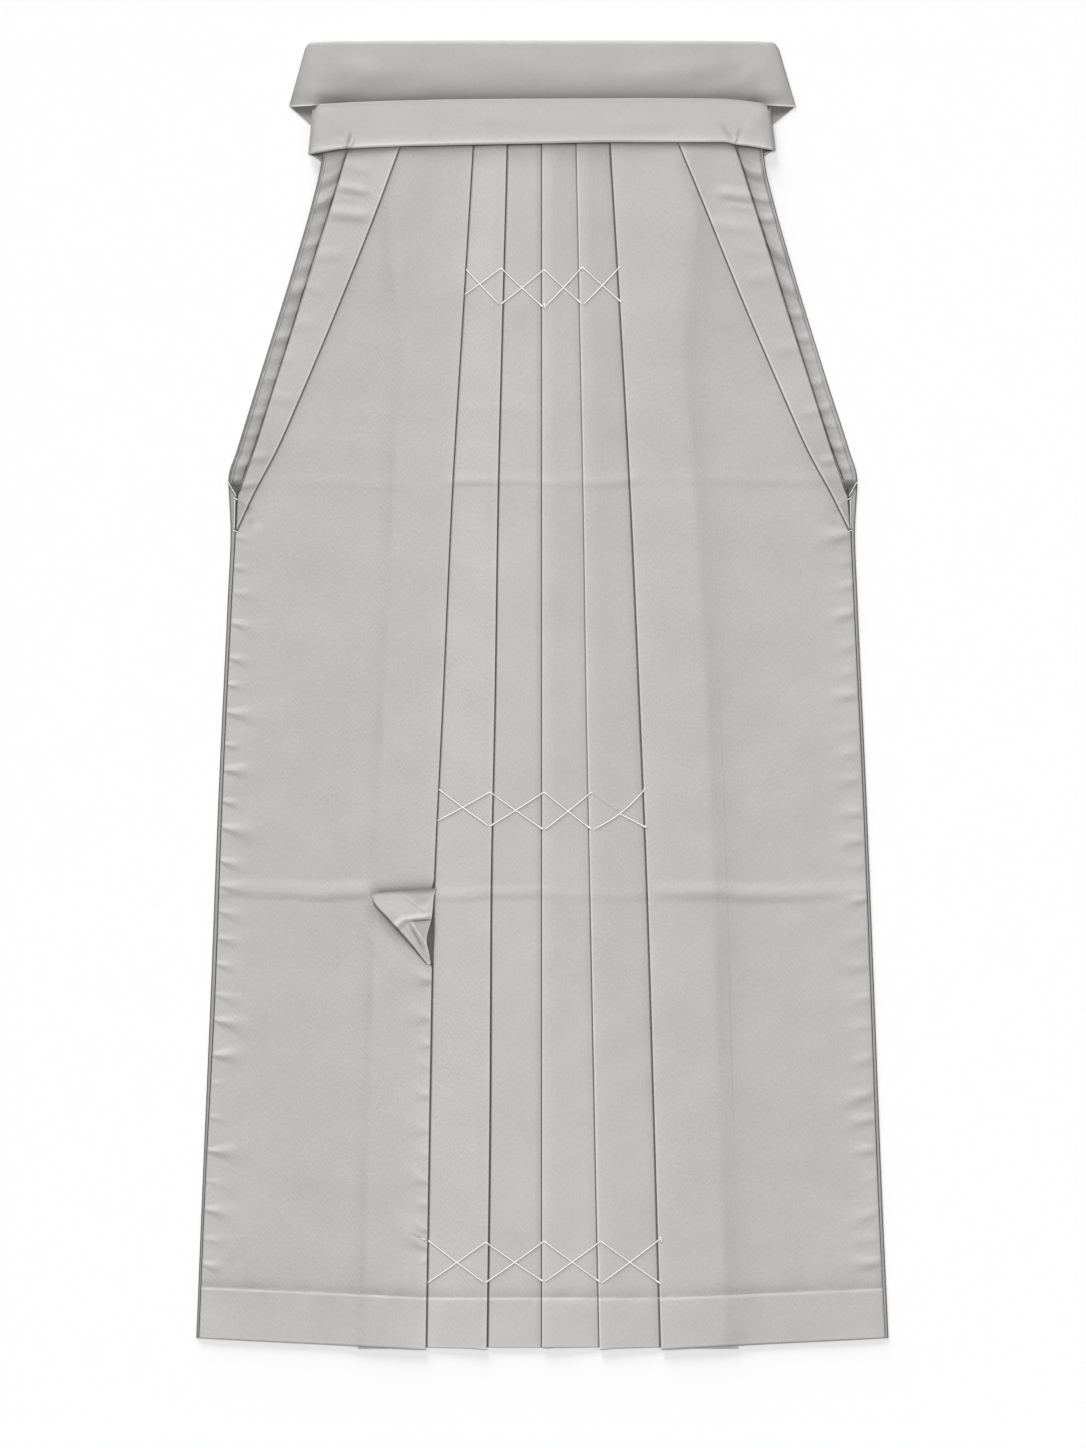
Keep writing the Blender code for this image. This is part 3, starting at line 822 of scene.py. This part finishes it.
# ---- the back ----
TURNED = 1                  # the side edge is turned up to just above the back itself
OPENING_ROW = 1.3           # distance between its rows where the opening shows it
HIDDEN_ROW = 4.0            # and below that
POCKET_TOP, POCKET_END = 256, 272    # the corner where the opening ends, painted dark as shade
NEAR_FRONT = np.array((-1.5, -0.5, 0))
BESIDE_FRONT = np.array((0.4, 0.8, 1.2, 1.7, 2.3, 3.2, 4.6))
NEAR_HEM = np.array((4, 3.4, 3, 2.6, 2.3, 2, 1.7, 1.4, 1))
LEFT_RIPPLES = (
    (21.5, 0.42, 8.5, -0.4), (31.5, 0.58, 6.5, -0.5), (48.5, 0.98, 8, -0.5), (66, 0.14, 5, -0.4),
    (80, 0.36, 5, -0.3), (96, 0.24, 6, -0.2), (113.5, 0.66, 8.5, -0.2), (130, 0.20, 4, -0.1),
    (149, 0.54, 6.5, -0.1), (163, 0.16, 5, 0), (179.5, 0.30, 5, 0), (195, 0.16, 4.5, 0),
    (207.5, 0.30, 5, -0.1), (222.5, 0.28, 4, -0.1), (233, 0.16, 4, 0), (246, 0.55, 7, -0.1),
)
RIGHT_RIPPLES = (
    (24.5, 1.05, 8, -0.25), (44.5, 0.42, 5, -0.2), (58, 0.50, 5, 0), (89, 1.05, 11, -0.9),
    (113, 0.58, 9, -0.5), (130.5, 0.28, 5, 0), (149, 0.24, 5, 0), (164, 0.10, 4, 0),
    (181, 0.26, 5.5, 0.2), (199.5, 0.28, 5, 0.3), (214.5, 0.18, 4.5, 0), (232, 0.42, 5.5, -0.1),
    (247, 0.22, 5, 0),
)


def back_half(side):
    """One half of the back with its side edge turned up."""
    word, left = WORDS[side], side < 0
    rows = np.concatenate((spaced_rows(BACK_TOP, POCKET_END, OPENING_ROW),
                           spaced_rows(POCKET_END, HEM_DOWN, HIDDEN_ROW)[1:]))
    edge = read(EDGES, "back_" + word, rows)
    front_edge = read(EDGES, "front_" + word, rows)
    front_rise = hem_rise(front_edge) + 0.4
    hemmed = ease(rows, OPENING_END + 3, OPENING_END - 3)
    turned_to = (edge - side * SIDE_HEM) * hemmed + (front_edge + side * GAP) * (1 - hemmed)
    start = read(PLEATS, "leg_seam", rows) + CLEAR / 2 + side * GAP / 2
    shown = np.minimum(1, ((edge - front_edge) * side - 1.8) / 4.6)
    fine = np.minimum(1, (edge - front_edge) * side / 9)
    path = Path(rows)
    path.run(start, front_edge - side * 3, 10, 0, rise=BACK_HEM, next_rise=front_rise)
    path.places(front_edge, side * NEAR_FRONT, 0, front_rise)
    path.places(front_edge, side * BESIDE_FRONT, 0, front_rise, scale=shown)
    path.run(front_edge + side * 4.6 * shown, edge - side * (0.6 + 4.4 * fine), 16, 0,
             rise=front_rise, next_rise=hem_rise(edge), first=1)
    for offset in NEAR_HEM:
        path.add(edge - side * (0.6 + (offset - 0.6) * fine), 0, hem_rise(edge))
    path.fold(edge, side, 0, TURNED, hem_rise(edge))
    path.run(edge - side * 1.2, turned_to, 3, TURNED, TURNED + 0.1, rise=hem_rise(edge))

    def extra(across, down, level):
        inside = (read(EDGES, "back_" + word, down) - across) * side
        height = 0
        for centre, size, half_width, droop in LEFT_RIPPLES if left else RIGHT_RIPPLES:
            bend = droop * inside - 0.03 * (inside - 8) ** 2
            height += size * bump(down - centre - bend, half_width)
        return RIPPLE_HEIGHT * height * ease(inside, 0.5, 4) * ease(inside, 22, 14) * (down < OPENING_END)

    # painted shade in the opening beside the front's edge, on the strip below it and in its end corner
    def tone(across, down, level):
        inside = (read(EDGES, "back_" + word, down) - across) * side
        beyond = (across - read(EDGES, "front_" + word, down)) * side
        lower = ease(down, 150, 240)
        # a dark line along the turned hem, this far in
        hem_line = 1.6 if left else 2.6 - 0.8 * ease(down, 90, 190)
        opening = (gap(beyond, 0.7, 0.9, 0.74 + 0.14 * lower, 0.48 + 0.12 * lower, 3.4)
                   + (0.09 if left else 0.02) + (0.60 + 0.28 * lower) * bump(inside - hem_line, 0.85)
                   + 0.12 * core(inside, 0.2, 0.5) + 0.30 * lower * bump(inside - 3.6, 0.8))
        below = 0.90 * core(beyond, 0.45 if left else 0.3, 0.5) + (0.33 if left else 0.25)
        dark = np.where(down < OPENING_END, opening, below)
        pocket = ease(inside - (down - 258.4) * 0.6 + 1.5, -0.3, 0.6) * ease(down, POCKET_END, 269.5)
        dark = np.where((down > POCKET_TOP) & (down < POCKET_END), dark * (1 - pocket)
                        + pocket * (0.32 + 0.65 * ease(down, 252, 262)), dark)
        return (1 - dark) * band_shadow(across, down)

    points, shade = path.sheet(extra, tone, base=BACK_HALF + PITCH, soft=False)
    return shell(f"back_{word}_cloth", points, BACK_HALF, shade, "back_" + word, BACK)


back_left = back_half(-1)
back_right = back_half(1)

# ---- the side pleats and the three-cornered fold ----
STRIP_ROW = 1.8
EDGE_COLUMNS = np.array((0, 0.5, 0.9, 1.2, 1.5, 1.9, 2.5))
STRIP_RIDGES = table(
    RIDGE,
    (-163, 52.5, -132, 56, 0.75, 7), (-156, 33, -132, 37, 0.60, 5), (-152, 16, -130, 22, 0.24, 6),
    (-176, 86, -150, 84, 0.22, 7), (-182, 108, -166, 114, 0.18, 6),
    (-196, 138, -170, 136, 0.20, 8), (-204, 166, -188, 164, 0.16, 6),
    (-210, 192, -188, 196, 0.22, 7), (-226, 240, -208, 238, 0.42, 6),
    (-232, 262, -216, 258, 0.34, 4), (133, 37.5, 162, 41.5, 0.80, 6.5),
    (140, 47, 160, 51, 0.28, 4), (126, 60, 160, 66, 0.26, 7), (150, 80, 168, 86, 0.18, 6),
    (152, 104, 178, 100, 0.20, 8), (176, 158, 200, 154, 0.22, 8), (196, 206, 216, 202, 0.25, 7),
    (212, 242, 228, 240, 0.42, 5),
)


def side_pleat(side):
    """A long narrow pleat lying on the front along its side opening."""
    word, left = WORDS[side], side < 0
    rows = spaced_rows(SIDE_PLEAT_TOP, SIDE_PLEATS["down"][-1], STRIP_ROW)
    start, end = [read(SIDE_PLEATS, word + name, rows) for name in ("_inner", "_outer")][::side]
    path = Path(rows)
    margin = np.minimum(1, (end - start) / 9)
    path.places(start, EDGE_COLUMNS, 2, 0, scale=margin)
    path.run(start + margin * 3.2, end - margin * 3.2, 16, 2)
    path.places(end, -EDGE_COLUMNS[::-1], 2, 0, scale=margin)

    def extra(across, down, level):
        return add_ridges(climb(across, down, side), STRIP_RIDGES, across, down)

    # painted highlight by the inner edge, painted shade in the gaps at both edges, lower down and at the tip
    def tone(across, down, level):
        inside = (across - read(SIDE_PLEATS, word + "_inner", down)) * side
        outside = (read(SIDE_PLEATS, word + "_outer", down) - across) * side
        tip = down - 269.8 - 0.75 * outside
        light = 0.04 + (0.22 if left else 0.36) * spot(inside - 2, 0.7)
        dark = 0.92 * ease(inside, 1.55, 0.9)
        dark += (0.50 + 0.30 * ease(down, 150, 240)) * ease(outside, 1.1, 0.3)
        dark += 0.11 * ease(down, 180, 240) + 0.10 * bump(down - 263, 14)
        dark += 0.20 * ease(tip, -0.5, 1) * ease(inside, 1.8, 2.9)
        return 1 + light - dark

    return path.cloth(f"side_pleat_{word}_cloth", "side_pleat_" + word, extra, tone)


side_left = side_pleat(-1)
side_right = side_pleat(1)

FLAP_ROWS, FLAP_COLUMNS = 92, 60
FLAP_RIDGES = table(
    RIDGE,
    (-105.3, 570, -84.7, 586, 0.35, 1.4), (-113, 595, -104, 587.2, 0.85, 4),
    (-106, 588.2, -84.5, 586, 0.95, 3.2), (-100.5, 589, -88.5, 608, 0.75, 2.2),
    (-104, 592, -94, 611, 0.30, 1.8), (-89, 604, -86, 620, 0.45, 1.8),
    (-96, 578, -86, 576, -0.25, 5), (-98, 598, -91, 612, -0.40, 1.8),
)
# Painted shade in the creases of the fold, with its depth as height.
FLAP_LINES = table(
    RIDGE,
    (-101, 589.6, -84, 588.6, 0.62, 1), (-101.5, 591.5, -90.5, 611.5, 0.34, 2),
)


def three_cornered_fold():
    """The loose corner of cloth that the storage crease has folded over, tucked in along its top."""
    rows = np.linspace(CREASE_FOLD["down"][0], CREASE_FOLD["down"][-1], FLAP_ROWS)
    tilt = ease(rows, 600, 567)
    path = Path(rows)
    path.run(read(CREASE_FOLD, "left", rows), read(CREASE_FOLD, "right", rows), FLAP_COLUMNS, 4,
             rise=-6 * tilt, next_rise=9 * tilt, gather=0.4)

    def extra(across, down, level):
        height = ease(down, 566, 588) * ease(down, 624, 606) + 0.25 * ease(down, 566, 572)
        return add_ridges(height, FLAP_RIDGES, across, down)

    # painted highlights on the right edge and ridges; painted shade on the left edge, under and in creases
    def tone(across, down, level):
        inside = across - read(CREASE_FOLD, "left", down)
        wide = 0.8 + 1.1 * bump(down - 600, 24)
        reach = 1.7 + 2 * ease(across, -114, -92)
        light = (0.22 + 0.20 * ease(down, 600, 606)) * near(read(CREASE_FOLD, "right", down) - across, 0.9)
        light += 0.16 * spot(inside - wide * 2.4, 1) * ease(down, 590, 604)
        for row in rows_of(FLAP_RIDGES):
            light += 0.24 * np.clip(ridge(across, down - 0.5, *row), 0, None)
        dark = 0.85 * ease(inside, wide * 1.6, wide * 0.8) * ease(down, 568, 578)
        dark += 0.60 * fade(down - flap_top(across), reach, 1.4)
        dark = add_ridges(dark, FLAP_LINES, across, down)
        below_crease = (across + 105.3) * 0.61 + (570 - down) * 0.79
        dark += 0.06 * ease(below_crease, 0.2, 1.6) * ease(down, 586, 583)
        below_ridge = (across + 100.5) * 0.85 + (589 - down) * 0.53
        dark += 0.13 * ease(below_ridge, 0.4, 1.8) * ease(down, 587, 589)
        return 1 + light - dark

    points, shade = path.sheet(extra, tone)
    points[..., 1] -= FLAP_DOWN * MM
    return shell("crease_fold_cloth", points, SHELL / 2, shade, "crease_fold", PANEL)


crease_fold = three_cornered_fold()

# ---- the bands and their ties ----
# end_dark, end_light, rim_light and tie_shadow set painted shade and highlights at ends and ties
BandShape = namedtuple("BandShape",
                       "top crown bottom raised_bottom tie_up tie_half upper_round lower_round slope lip "
                       "corner end_dark end_from end_light rim_light tie_shadow")
FRONT_BAND_SHAPE = BandShape(5.3, 0.25, 3.1, 4.1, 0.9, 0.28, 1.2, 1.1, 0.1, 0.45, 4.6, 0.24, 110, 0.5, 0, 0)
BACK_BAND_SHAPE = BandShape(2.2, 1.3, 0, 0.62, 0.28, 0.28, 1.4, 5, 1.6, 0, 4.6, 0.30, 160, 0.80, 1.1, 6.5)
FRONT_BAND_RIDGES = table(
    RIDGE,
    (-149, 5, -144.8, -6.5, -0.90, 1.2), (-147, 4, -143.5, -3.5, 0.60, 1.6),
    (-148.5, 4, -154, -3, 0.35, 2.4), (-151.5, 4.8, -144.5, 4, -0.60, 1.3),
    (-168, -26, -152, -8, 0.20, 6), (-160, -28, -170, -2, 0.18, 6),
    (145.5, 1.5, 136, -13, -0.34, 2.6), (146.5, 1.5, 151, -10, -0.34, 2.6),
    (145, 0.4, 147.6, -3.6, 0.55, 1.6), (143.2, 1.8, 149.6, 2.2, -0.60, 1.3),
    (168, -24, 154, -6, 0.22, 6), (158, -28, 170, -12, 0.18, 5), (-60, -20, 30, -14, 0.10, 9),
    (40, -12, 110, -16, 0.10, 8),
)
BACK_BAND_RIDGES = table(
    RIDGE,
    (-178, -40, -150, -34, 0.40, 8), (-160, -60, -120, -52, 0.29, 12),
    (-140, -38, -90, -48, -0.32, 12), (-60, -66, 10, -56, 0.19, 12),
    (60, -50, 130, -58, 0.26, 12), (110, -44, 160, -54, -0.26, 10), (182, -40, 152, -34, 0.40, 8),
    (166, -62, 150, -44, 0.24, 8),
)
BAND_COLUMNS = 44           # from a band's upper edge to its lower edge
THINNEST_BAND = 0.16        # half the thickness at its very edges
END_THINNING = 0.6          # how much thinner it is where it turns
END_SHARES = (0.15, 0.3, 0.44, 0.56, 0.66, 0.75, 0.82, 0.88, 0.93, 0.97, 1)
TIE_SHARES = (0.01, 0.03, 0.05, 0.08, 0.11, 0.15, 0.19, 0.24, 0.3, 0.37, 0.45, 0.6, 0.8, 1)
BAND_PLACES = np.concatenate((np.arange(-155, -138, 0.5), np.linspace(-138, 135, 115),
                              np.arange(135.5, 157, 0.5)))
# painted shade and highlights across each band, by distance below its upper edge
FRONT_BAND_TONE = table(
    "down shade",
    (0, 0.42), (0.8, 0.66), (1.5, 0.93), (2.5, 0.98), (4, 1.05), (10, 1.05), (25, 1.06),
    (29, 1.10), (31.3, 1.16), (33.1, 1.40), (33.7, 1.36), (35.5, 0.85),
)
BACK_BAND_TONE = table(
    "down shade",
    (0, 0.74), (0.9, 0.88), (1.8, 0.945), (4, 0.967), (13.7, 0.975), (21.3, 0.975), (25.8, 0.93),
    (29.6, 0.88), (32.7, 0.82), (35, 0.75), (37.2, 0.68), (38.8, 0.61), (40.3, 0.54),
    (41.8, 0.45), (47.3, 0.42),
)


def band(name, rows, ends, shape, ridges, tones, node):
    """A padded waist band, rounded at its edges, with a tie folded back behind it at each end."""
    even = np.arange(BAND_COLUMNS + 1) / BAND_COLUMNS
    shares = even - 0.6 * np.sin(2 * pi * even) / (2 * pi)
    points, halves, shades = [], [], []

    def line_of(across):
        """Where the band's straight section at a place begins and ends, as (across, down)."""
        return [np.array((across, -read(rows, edge, across))) for edge in ("upper", "lower")]

    def straight(across):
        low = shape.bottom + (shape.raised_bottom - shape.bottom) * ease(abs(across), 78, 104)
        return *line_of(across), low, shape.top + shape.crown * (0.3 + 0.7 * ease(abs(across), 152, 120))

    def along(upper, lower):
        """Points from the upper edge to the lower edge, and how far each lies from both."""
        width = np.linalg.norm(lower - upper)
        return upper + (lower - upper) * shares[:, None], shares * width, (1 - shares) * width

    def section(upper, lower, low, high, thin=0, shade=1):
        """One section from low to high; thin is 0 on the padded band and 1 on the flat tie."""
        places, from_top, from_low = along(upper, lower)
        rounding = (np.sqrt(1 - np.clip(1 - from_top / shape.upper_round, 0, 1) ** 2 * 0.9)
                    * np.sqrt(1 - np.clip(1 - from_low / shape.lower_round, 0, 1) ** 3 * 0.88))
        thin_rounding = np.sqrt(1 - np.clip(1 - np.minimum(from_top, from_low) / 0.4, 0, 1) ** 2 * 0.9)
        rounding = rounding * (1 - thin) + thin_rounding * thin
        lip = shape.lip * np.exp(-from_low / 3) - shape.slope * shares ** 1.8
        top = low + (high - low + lip * (1 - thin)) * rounding
        # pinch is painted shade in the band's narrow creases
        pinch = 1
        for row in rows_of(ridges):
            added = ridge(*places.T, *row) * (1 - thin)
            top = top + added
            pinch = pinch + np.clip(added, None, 0) * 0.45 * (row[-1] < 4)
        half = np.maximum((top - low) / 2, THINNEST_BAND)
        points.append(world(*places.T, low + half))
        halves.append(half)
        end = abs(places[-1, 0])
        # painted shade and highlights across the band, lifted near its ends, with a painted highlight on the
        # rim
        tone = read(tones, "shade", from_top)
        tone = tone + (1 - tone) * shape.end_light * ease(end, shape.end_from, 180) * ease(from_top, 10, 25)
        rim_light = shape.rim_light * ease(end, 168, 174) * spot(from_low, 1)
        shades.append(shade * pinch * (tone + (1 - tone) * thin) + rim_light * (1 - thin))

    def tie_shade(upper, lower, end):
        """Painted shade on a folded tie: black in the band's shadow close under it, greyer further down, with
        a painted highlight along its edge.

        The front band's ties lie in two layers, with a painted dark line in the gap between them.
        """
        places, _, from_low = along(upper, lower)
        below = places[:, 1] + end.lower - 0.12 * np.abs(places[:, 0] - end.lower_across)
        if not shape.tie_shadow:
            return (0.92 - 0.82 * bump(from_low - 2.4, 0.95) - 0.35 * bump(from_low - 0.9, 0.35)
                    - 0.80 * ease(below, 0.9, 0.1))
        return (0.10 + 0.52 * ease(below, 0.25 * shape.tie_shadow, 1.3 * shape.tie_shadow)
                + 0.80 * spot(from_low, 0.6))

    def turned_end(end):
        """Sections from the band's last straight one round its end and along the tie behind it."""
        upper = np.array((end.upper_across, -end.upper))
        lower = np.array((end.lower_across, -end.lower))
        edge = unit(lower - upper)
        outward = np.array((edge[1], -edge[0]))
        outward = outward * np.sign(outward[0]) * np.sign(end.upper_across)
        inner = BAND_PLACES[0 if end.upper_across < 0 else -1]
        low, high = shape.raised_bottom, shape.top + shape.crown * 0.3
        radius = ((low + high) / 2 - shape.tie_up) / 2
        inset = outward * (radius + shape.tie_half)
        inner_upper, inner_lower = line_of(inner)
        length = abs(end.upper_across - inner)
        result = []
        # each section's last value is its painted shade, darker round the turned end and on the tie
        for share in END_SHARES:
            from_end = (1 - share) * length
            cut = np.clip(1 - from_end / shape.corner, 0, 0.99)
            rounded = np.array((0, shape.corner * (1 - np.sqrt(1 - cut ** 2))))
            result.append((inner_upper + (upper - inset - inner_upper) * share + rounded,
                           inner_lower + (lower - inset - inner_lower) * share, low,
                           high - END_THINNING * share ** 3, 0,
                           1 - shape.end_dark * np.exp(-from_end / 3.2)))
        rounded = np.array((0, shape.corner * 0.86))
        for share in np.linspace(0, 1, 11)[1:]:
            half = max((high - END_THINNING - low) / 2 * (1 - share) ** 1.5, shape.tie_half)
            middle = shape.tie_up + radius + (radius - 0.3) * np.cos(pi * share)
            shift = outward * radius * np.sin(pi * share) - inset
            result.append((upper + shift + rounded, lower + shift, middle - half, middle + half, share,
                           1 - shape.end_dark - 0.35 * share))
        for share in TIE_SHARES:
            run = np.array((end.along, end.downward)) * end.tie_length * share - inset
            line = upper + run + rounded, lower + run
            result.append((*line, shape.tie_up - shape.tie_half, shape.tie_up + shape.tie_half, 1,
                           tie_shade(*line, end)))
        return result

    for item in [*turned_end(ends[0])[::-1], *map(straight, BAND_PLACES), *turned_end(ends[1])]:
        section(*item)
    return shell(name, np.array(points), np.array(halves), np.array(shades), node, BANDS)


front_band = band("front_band_cloth", FRONT_BAND, FRONT_BAND_ENDS, FRONT_BAND_SHAPE, FRONT_BAND_RIDGES,
                  FRONT_BAND_TONE, "front_band")
back_band = band("back_band_cloth", BACK_BAND, BACK_BAND_ENDS, BACK_BAND_SHAPE, BACK_BAND_RIDGES,
                 BACK_BAND_TONE, "back_band")

# ---- threads ----
# The basting threads cross the pleats in three bands. Each band has two threads that zigzag between
# an upper and a lower point at each folded edge.
BASTING = (
    ((95.8, 95, 96.2, 94.2, 93.9), (115.5, 123.1, 125.4, 123.1, 121.6)),
    ((491, 493.2, 493.2, 493.2, 490.2), (515.3, 519.5, 522.1, 522.1, 520.6)),
    ((833.7, 835.2, 834.5, 834.5, 832.9), (866.4, 866.4, 865.6, 866.4, 867.2)),
)
THREAD_INSET = (0.3, -1.9, 1.5, 2.6, 1.6)       # how far inside its fold each thread turns, by fold
THREAD_RADIUS = 0.26
LOOSE_RADIUS = 0.09
HEM_THREAD_RADIUS = 0.14
SEAM_THREAD_RADIUS = 0.17
THREAD_FLAT = 2.9           # the strands are pressed flat: this much wider than high
THREAD_SIDES = 12
THREAD_STEP = 1.2
OVERHEAD = 0.1              # metres, above all the cloth


def surface_of(pieces):
    """One tree of the faces of several pieces, to lay threads on."""
    vertices, faces, count = [], [], 0
    for piece in pieces:
        vertices.extend(vertex.co.copy() for vertex in piece.data.vertices)
        faces.extend([count + index for index in face.vertices] for face in piece.data.polygons)
        count = len(vertices)
    return BVHTree.FromPolygons(vertices, faces)


laid_cloth = surface_of((panel_left, panel_right, pleats_left, pleats_right, side_left, side_right,
                         crease_fold, back_left, back_right))


def surface_height(across, down):
    """Height of the cloth in millimetres at a place, seen from above."""
    x, y, _ = world(across, down, 0)
    hit = laid_cloth.ray_cast(Vector((x, y, OVERHEAD)), Vector((0, 0, -1)))[0]
    return hit.z / MM if hit else 0


def tube(name, runs, radius, sides=THREAD_SIDES, light=1):
    """One mesh of round threads, each along its own run of points in millimetres."""
    vertices, faces, shade = [], [], []
    angles = [2 * pi * step / sides for step in range(sides)]
    # the flanks of each thread carry painted shadow; light scales the thread's own whiteness
    tones = [light * (0.12 + 0.88 * ease(np.sin(angle), 0.60, 0.85)) for angle in angles]
    for run in runs:
        points = np.array(run)
        ahead = unit(np.gradient(points, axis=0))
        beside = unit(np.cross(ahead, (0, 0, 1)))
        above = np.cross(beside, ahead)
        first = len(vertices)
        last = first + (len(points) - 1) * sides
        for place, side_way, up_way in zip(points, beside, above):
            vertices.extend(place + (side_way * np.cos(angle) * THREAD_FLAT + up_way * np.sin(angle)) * radius
                            for angle in angles)
            shade.extend(tones)
        for ring in range(first, last, sides):
            for step in range(sides):
                a, b = ring + step, ring + (step + 1) % sides
                faces.append((a, b, b + sides, a + sides))
        faces.append(tuple(range(first, first + sides))[::-1])
        faces.append(tuple(range(last, last + sides)))
    piece = add_mesh(name, world(*np.array(vertices).T), faces, np.array(shade))
    dress(piece, THREAD)
    return piece


def laid_run(start, end, slack=0, radius=THREAD_RADIUS, sink=0.7):
    """Points of a thread pulled from start to end over the cloth, dipping into it at both ends."""
    start, end = np.array(start, float), np.array(end, float)
    length = np.linalg.norm(end - start)
    count = max(int(length / THREAD_STEP), 6)
    shares = np.linspace(0, 1, count + 1)
    flat = start + (end - start) * shares[:, None]
    aside = np.array((-(end - start)[1], (end - start)[0])) / length
    flat = flat + aside * (slack * np.sin(pi * shares))[:, None]
    ground = np.array([surface_height(across, down) for across, down in flat])
    raised = ground.copy()
    for _ in range(6):
        smooth = raised.copy()
        smooth[1:-1] = (raised[:-2] + 2 * raised[1:-1] + raised[2:]) / 4
        raised = np.maximum(smooth, ground)
    dip = sink * (np.exp(-shares * length / 0.6) + np.exp(-(1 - shares) * length / 0.6))
    return [(across, down, up + radius * 1.1 - drop) for (across, down), up, drop in zip(flat, raised, dip)]


LOOSE_CROSSING = (58.3, 509.6)  # in the middle band one thread hangs slack and hides the other so far
LOOSE_END = (57.7, 507.2)       # and the faint part of the other ends here
THREAD_TAILS = (
    (1.3, 122, 2.4, 126.6), (89.4, 831.4, 91, 835.6), (-91.5, 832.4, -88.5, 833.7),
)


def basting_threads():
    """The zigzags of the three bands and the loose tails; in the middle band one thread hangs slack."""
    runs, faint = [], []
    for upper, lower in BASTING:
        for first, second in ((upper, lower), (lower, upper)):
            downs = [(first, second)[index % 2][index] for index in range(5)]
            lines = [folded_line(f"fold_{fold}", np.array([down]))[0] for fold, down in enumerate(downs, 1)]
            spots = [(line + inset, down) for line, inset, down in zip(lines, THREAD_INSET, downs)]
            loose = upper is BASTING[1][0]
            for left, right in zip(spots[:3] if loose else spots, spots[1:]):
                runs.append(laid_run(left, right, slack=0.25))
            if loose and first is upper:
                runs.append(laid_run(spots[3], spots[-1], slack=3.1))
            elif loose:
                runs.append(laid_run(LOOSE_CROSSING, spots[-1], sink=0.3))
                faint.append(laid_run(spots[3], LOOSE_END, 0.3, sink=0.3))
    runs.extend(laid_run(row[:2], row[2:], sink=0.35) for row in THREAD_TAILS)
    return (tube("basting_threads", runs, THREAD_RADIUS, light=0.84),
            tube("loose_thread", faint, LOOSE_RADIUS, light=0.75))


basting, loose_thread = basting_threads()


# From one place to another beside each side opening, as (across, down, to_across, to_down, sink).
SEAM_RUNS = (
    (239, 257.6, 235.8, 263.2, 0.1), (235.8, 263.2, 232.8, 268.6, 0.1),
    (233.9, 271.4, 234.2, 293.4, 0.2), (235, 269.6, 231.4, 271.2, 0.2),
    (235, 294.4, 231.6, 295.6, 0.2),
)


def hem_stitches():
    """Small stitches of the hem, one every twelve millimetres or so."""
    draw = np.random.default_rng(31)
    runs = []
    across = -250
    while across < 249:
        down = float(hem_stitch_down(across))
        runs.append(laid_run((across, down - 0.3), (across + draw.uniform(0.8, 1.6), down + 0.2), sink=0.5))
        across += draw.uniform(9, 14)
    return tube("hem_stitches", runs, HEM_THREAD_RADIUS, sides=8, light=0.75)


def seam_stitches():
    """The bar tacks and the sewn seam below each side opening, and the seam's little stitches."""
    runs = [laid_run((side * x0, y0), (side * x1, y1), sink=sink)
            for side in WORDS for x0, y0, x1, y1, sink in SEAM_RUNS]
    return tube("seam_stitches", runs, SEAM_THREAD_RADIUS, sides=10, light=0.85)


hem_stitches()
seam_stitches()

# ---- table, light and camera ----
PIXEL = 0.76                    # millimetres that one pixel of the picture covers
PICTURE_HEIGHT = 1448
LENS = 400
SENSOR = 36
CAMERA_PLACE = (0.38, -21.66)   # millimetres right of and above the garment's middle
TABLE_REACH = 120               # metres from the middle to each edge


def add_table():
    corners = [(x * TABLE_REACH, y * TABLE_REACH, 0) for x, y in ((-1, -1), (1, -1), (1, 1), (-1, 1))]
    data = bpy.data.meshes.new("table")
    data.from_pydata(corners, [], [(0, 1, 2, 3)])
    board = add_object("table", data)
    material, add, shader = new_material("white_table")
    speck = add("TexNoise", "Fac", Scale=60)
    shader(Base_Color=ramp(add, speck, [0.856] * 3, [0.862] * 3), Roughness=0.9, Specular_IOR_Level=0.1)
    data.materials.append(material)


# Soft lights: how far each leans from overhead, its heading clockwise from the waist's side, its
# width and its strength.
LIGHTS = (
    ("overhead", 16, -22, 28, 1.71),
    ("low_top", 78.4, -16, 24, 3.80),
    ("left", 52, -90, 40, 0.24),
    ("right", 52, 90, 40, 0.24),
    ("bottom", 52, 180, 40, 0.24),
)
WORLD_STRENGTH = 0.25


def add_light(name, lean, heading, width, strength):
    """A wide, far light that shines evenly on the whole garment."""
    data = bpy.data.lights.new(name, "SUN")
    data.angle = radians(width)
    data.energy = strength
    lean, heading = radians(lean), radians(heading)
    towards = Vector((np.sin(lean) * np.sin(heading), np.sin(lean) * np.cos(heading), np.cos(lean)))
    add_object(name, data).rotation_euler = towards.to_track_quat("Z", "Y").to_euler()


add_table()
for light in LIGHTS:
    add_light(*light)
studio = bpy.data.worlds.new("studio")
studio.use_nodes = True
sky = studio.node_tree.nodes["Background"].inputs
sky["Color"].default_value = (1, 1, 1, 1)
sky["Strength"].default_value = WORLD_STRENGTH
bpy.context.scene.world = studio
bpy.context.scene.view_settings.view_transform = "Standard"

camera_data = bpy.data.cameras.new("camera")
camera_data.sensor_fit = "VERTICAL"
camera_data.sensor_height = SENSOR
camera_data.lens = LENS
camera_data.clip_end = 4 * TABLE_REACH
camera = add_object("camera", camera_data)
camera.location = (CAMERA_PLACE[0] * MM, CAMERA_PLACE[1] * MM, PICTURE_HEIGHT * PIXEL * MM * LENS / SENSOR)
bpy.context.scene.camera = camera
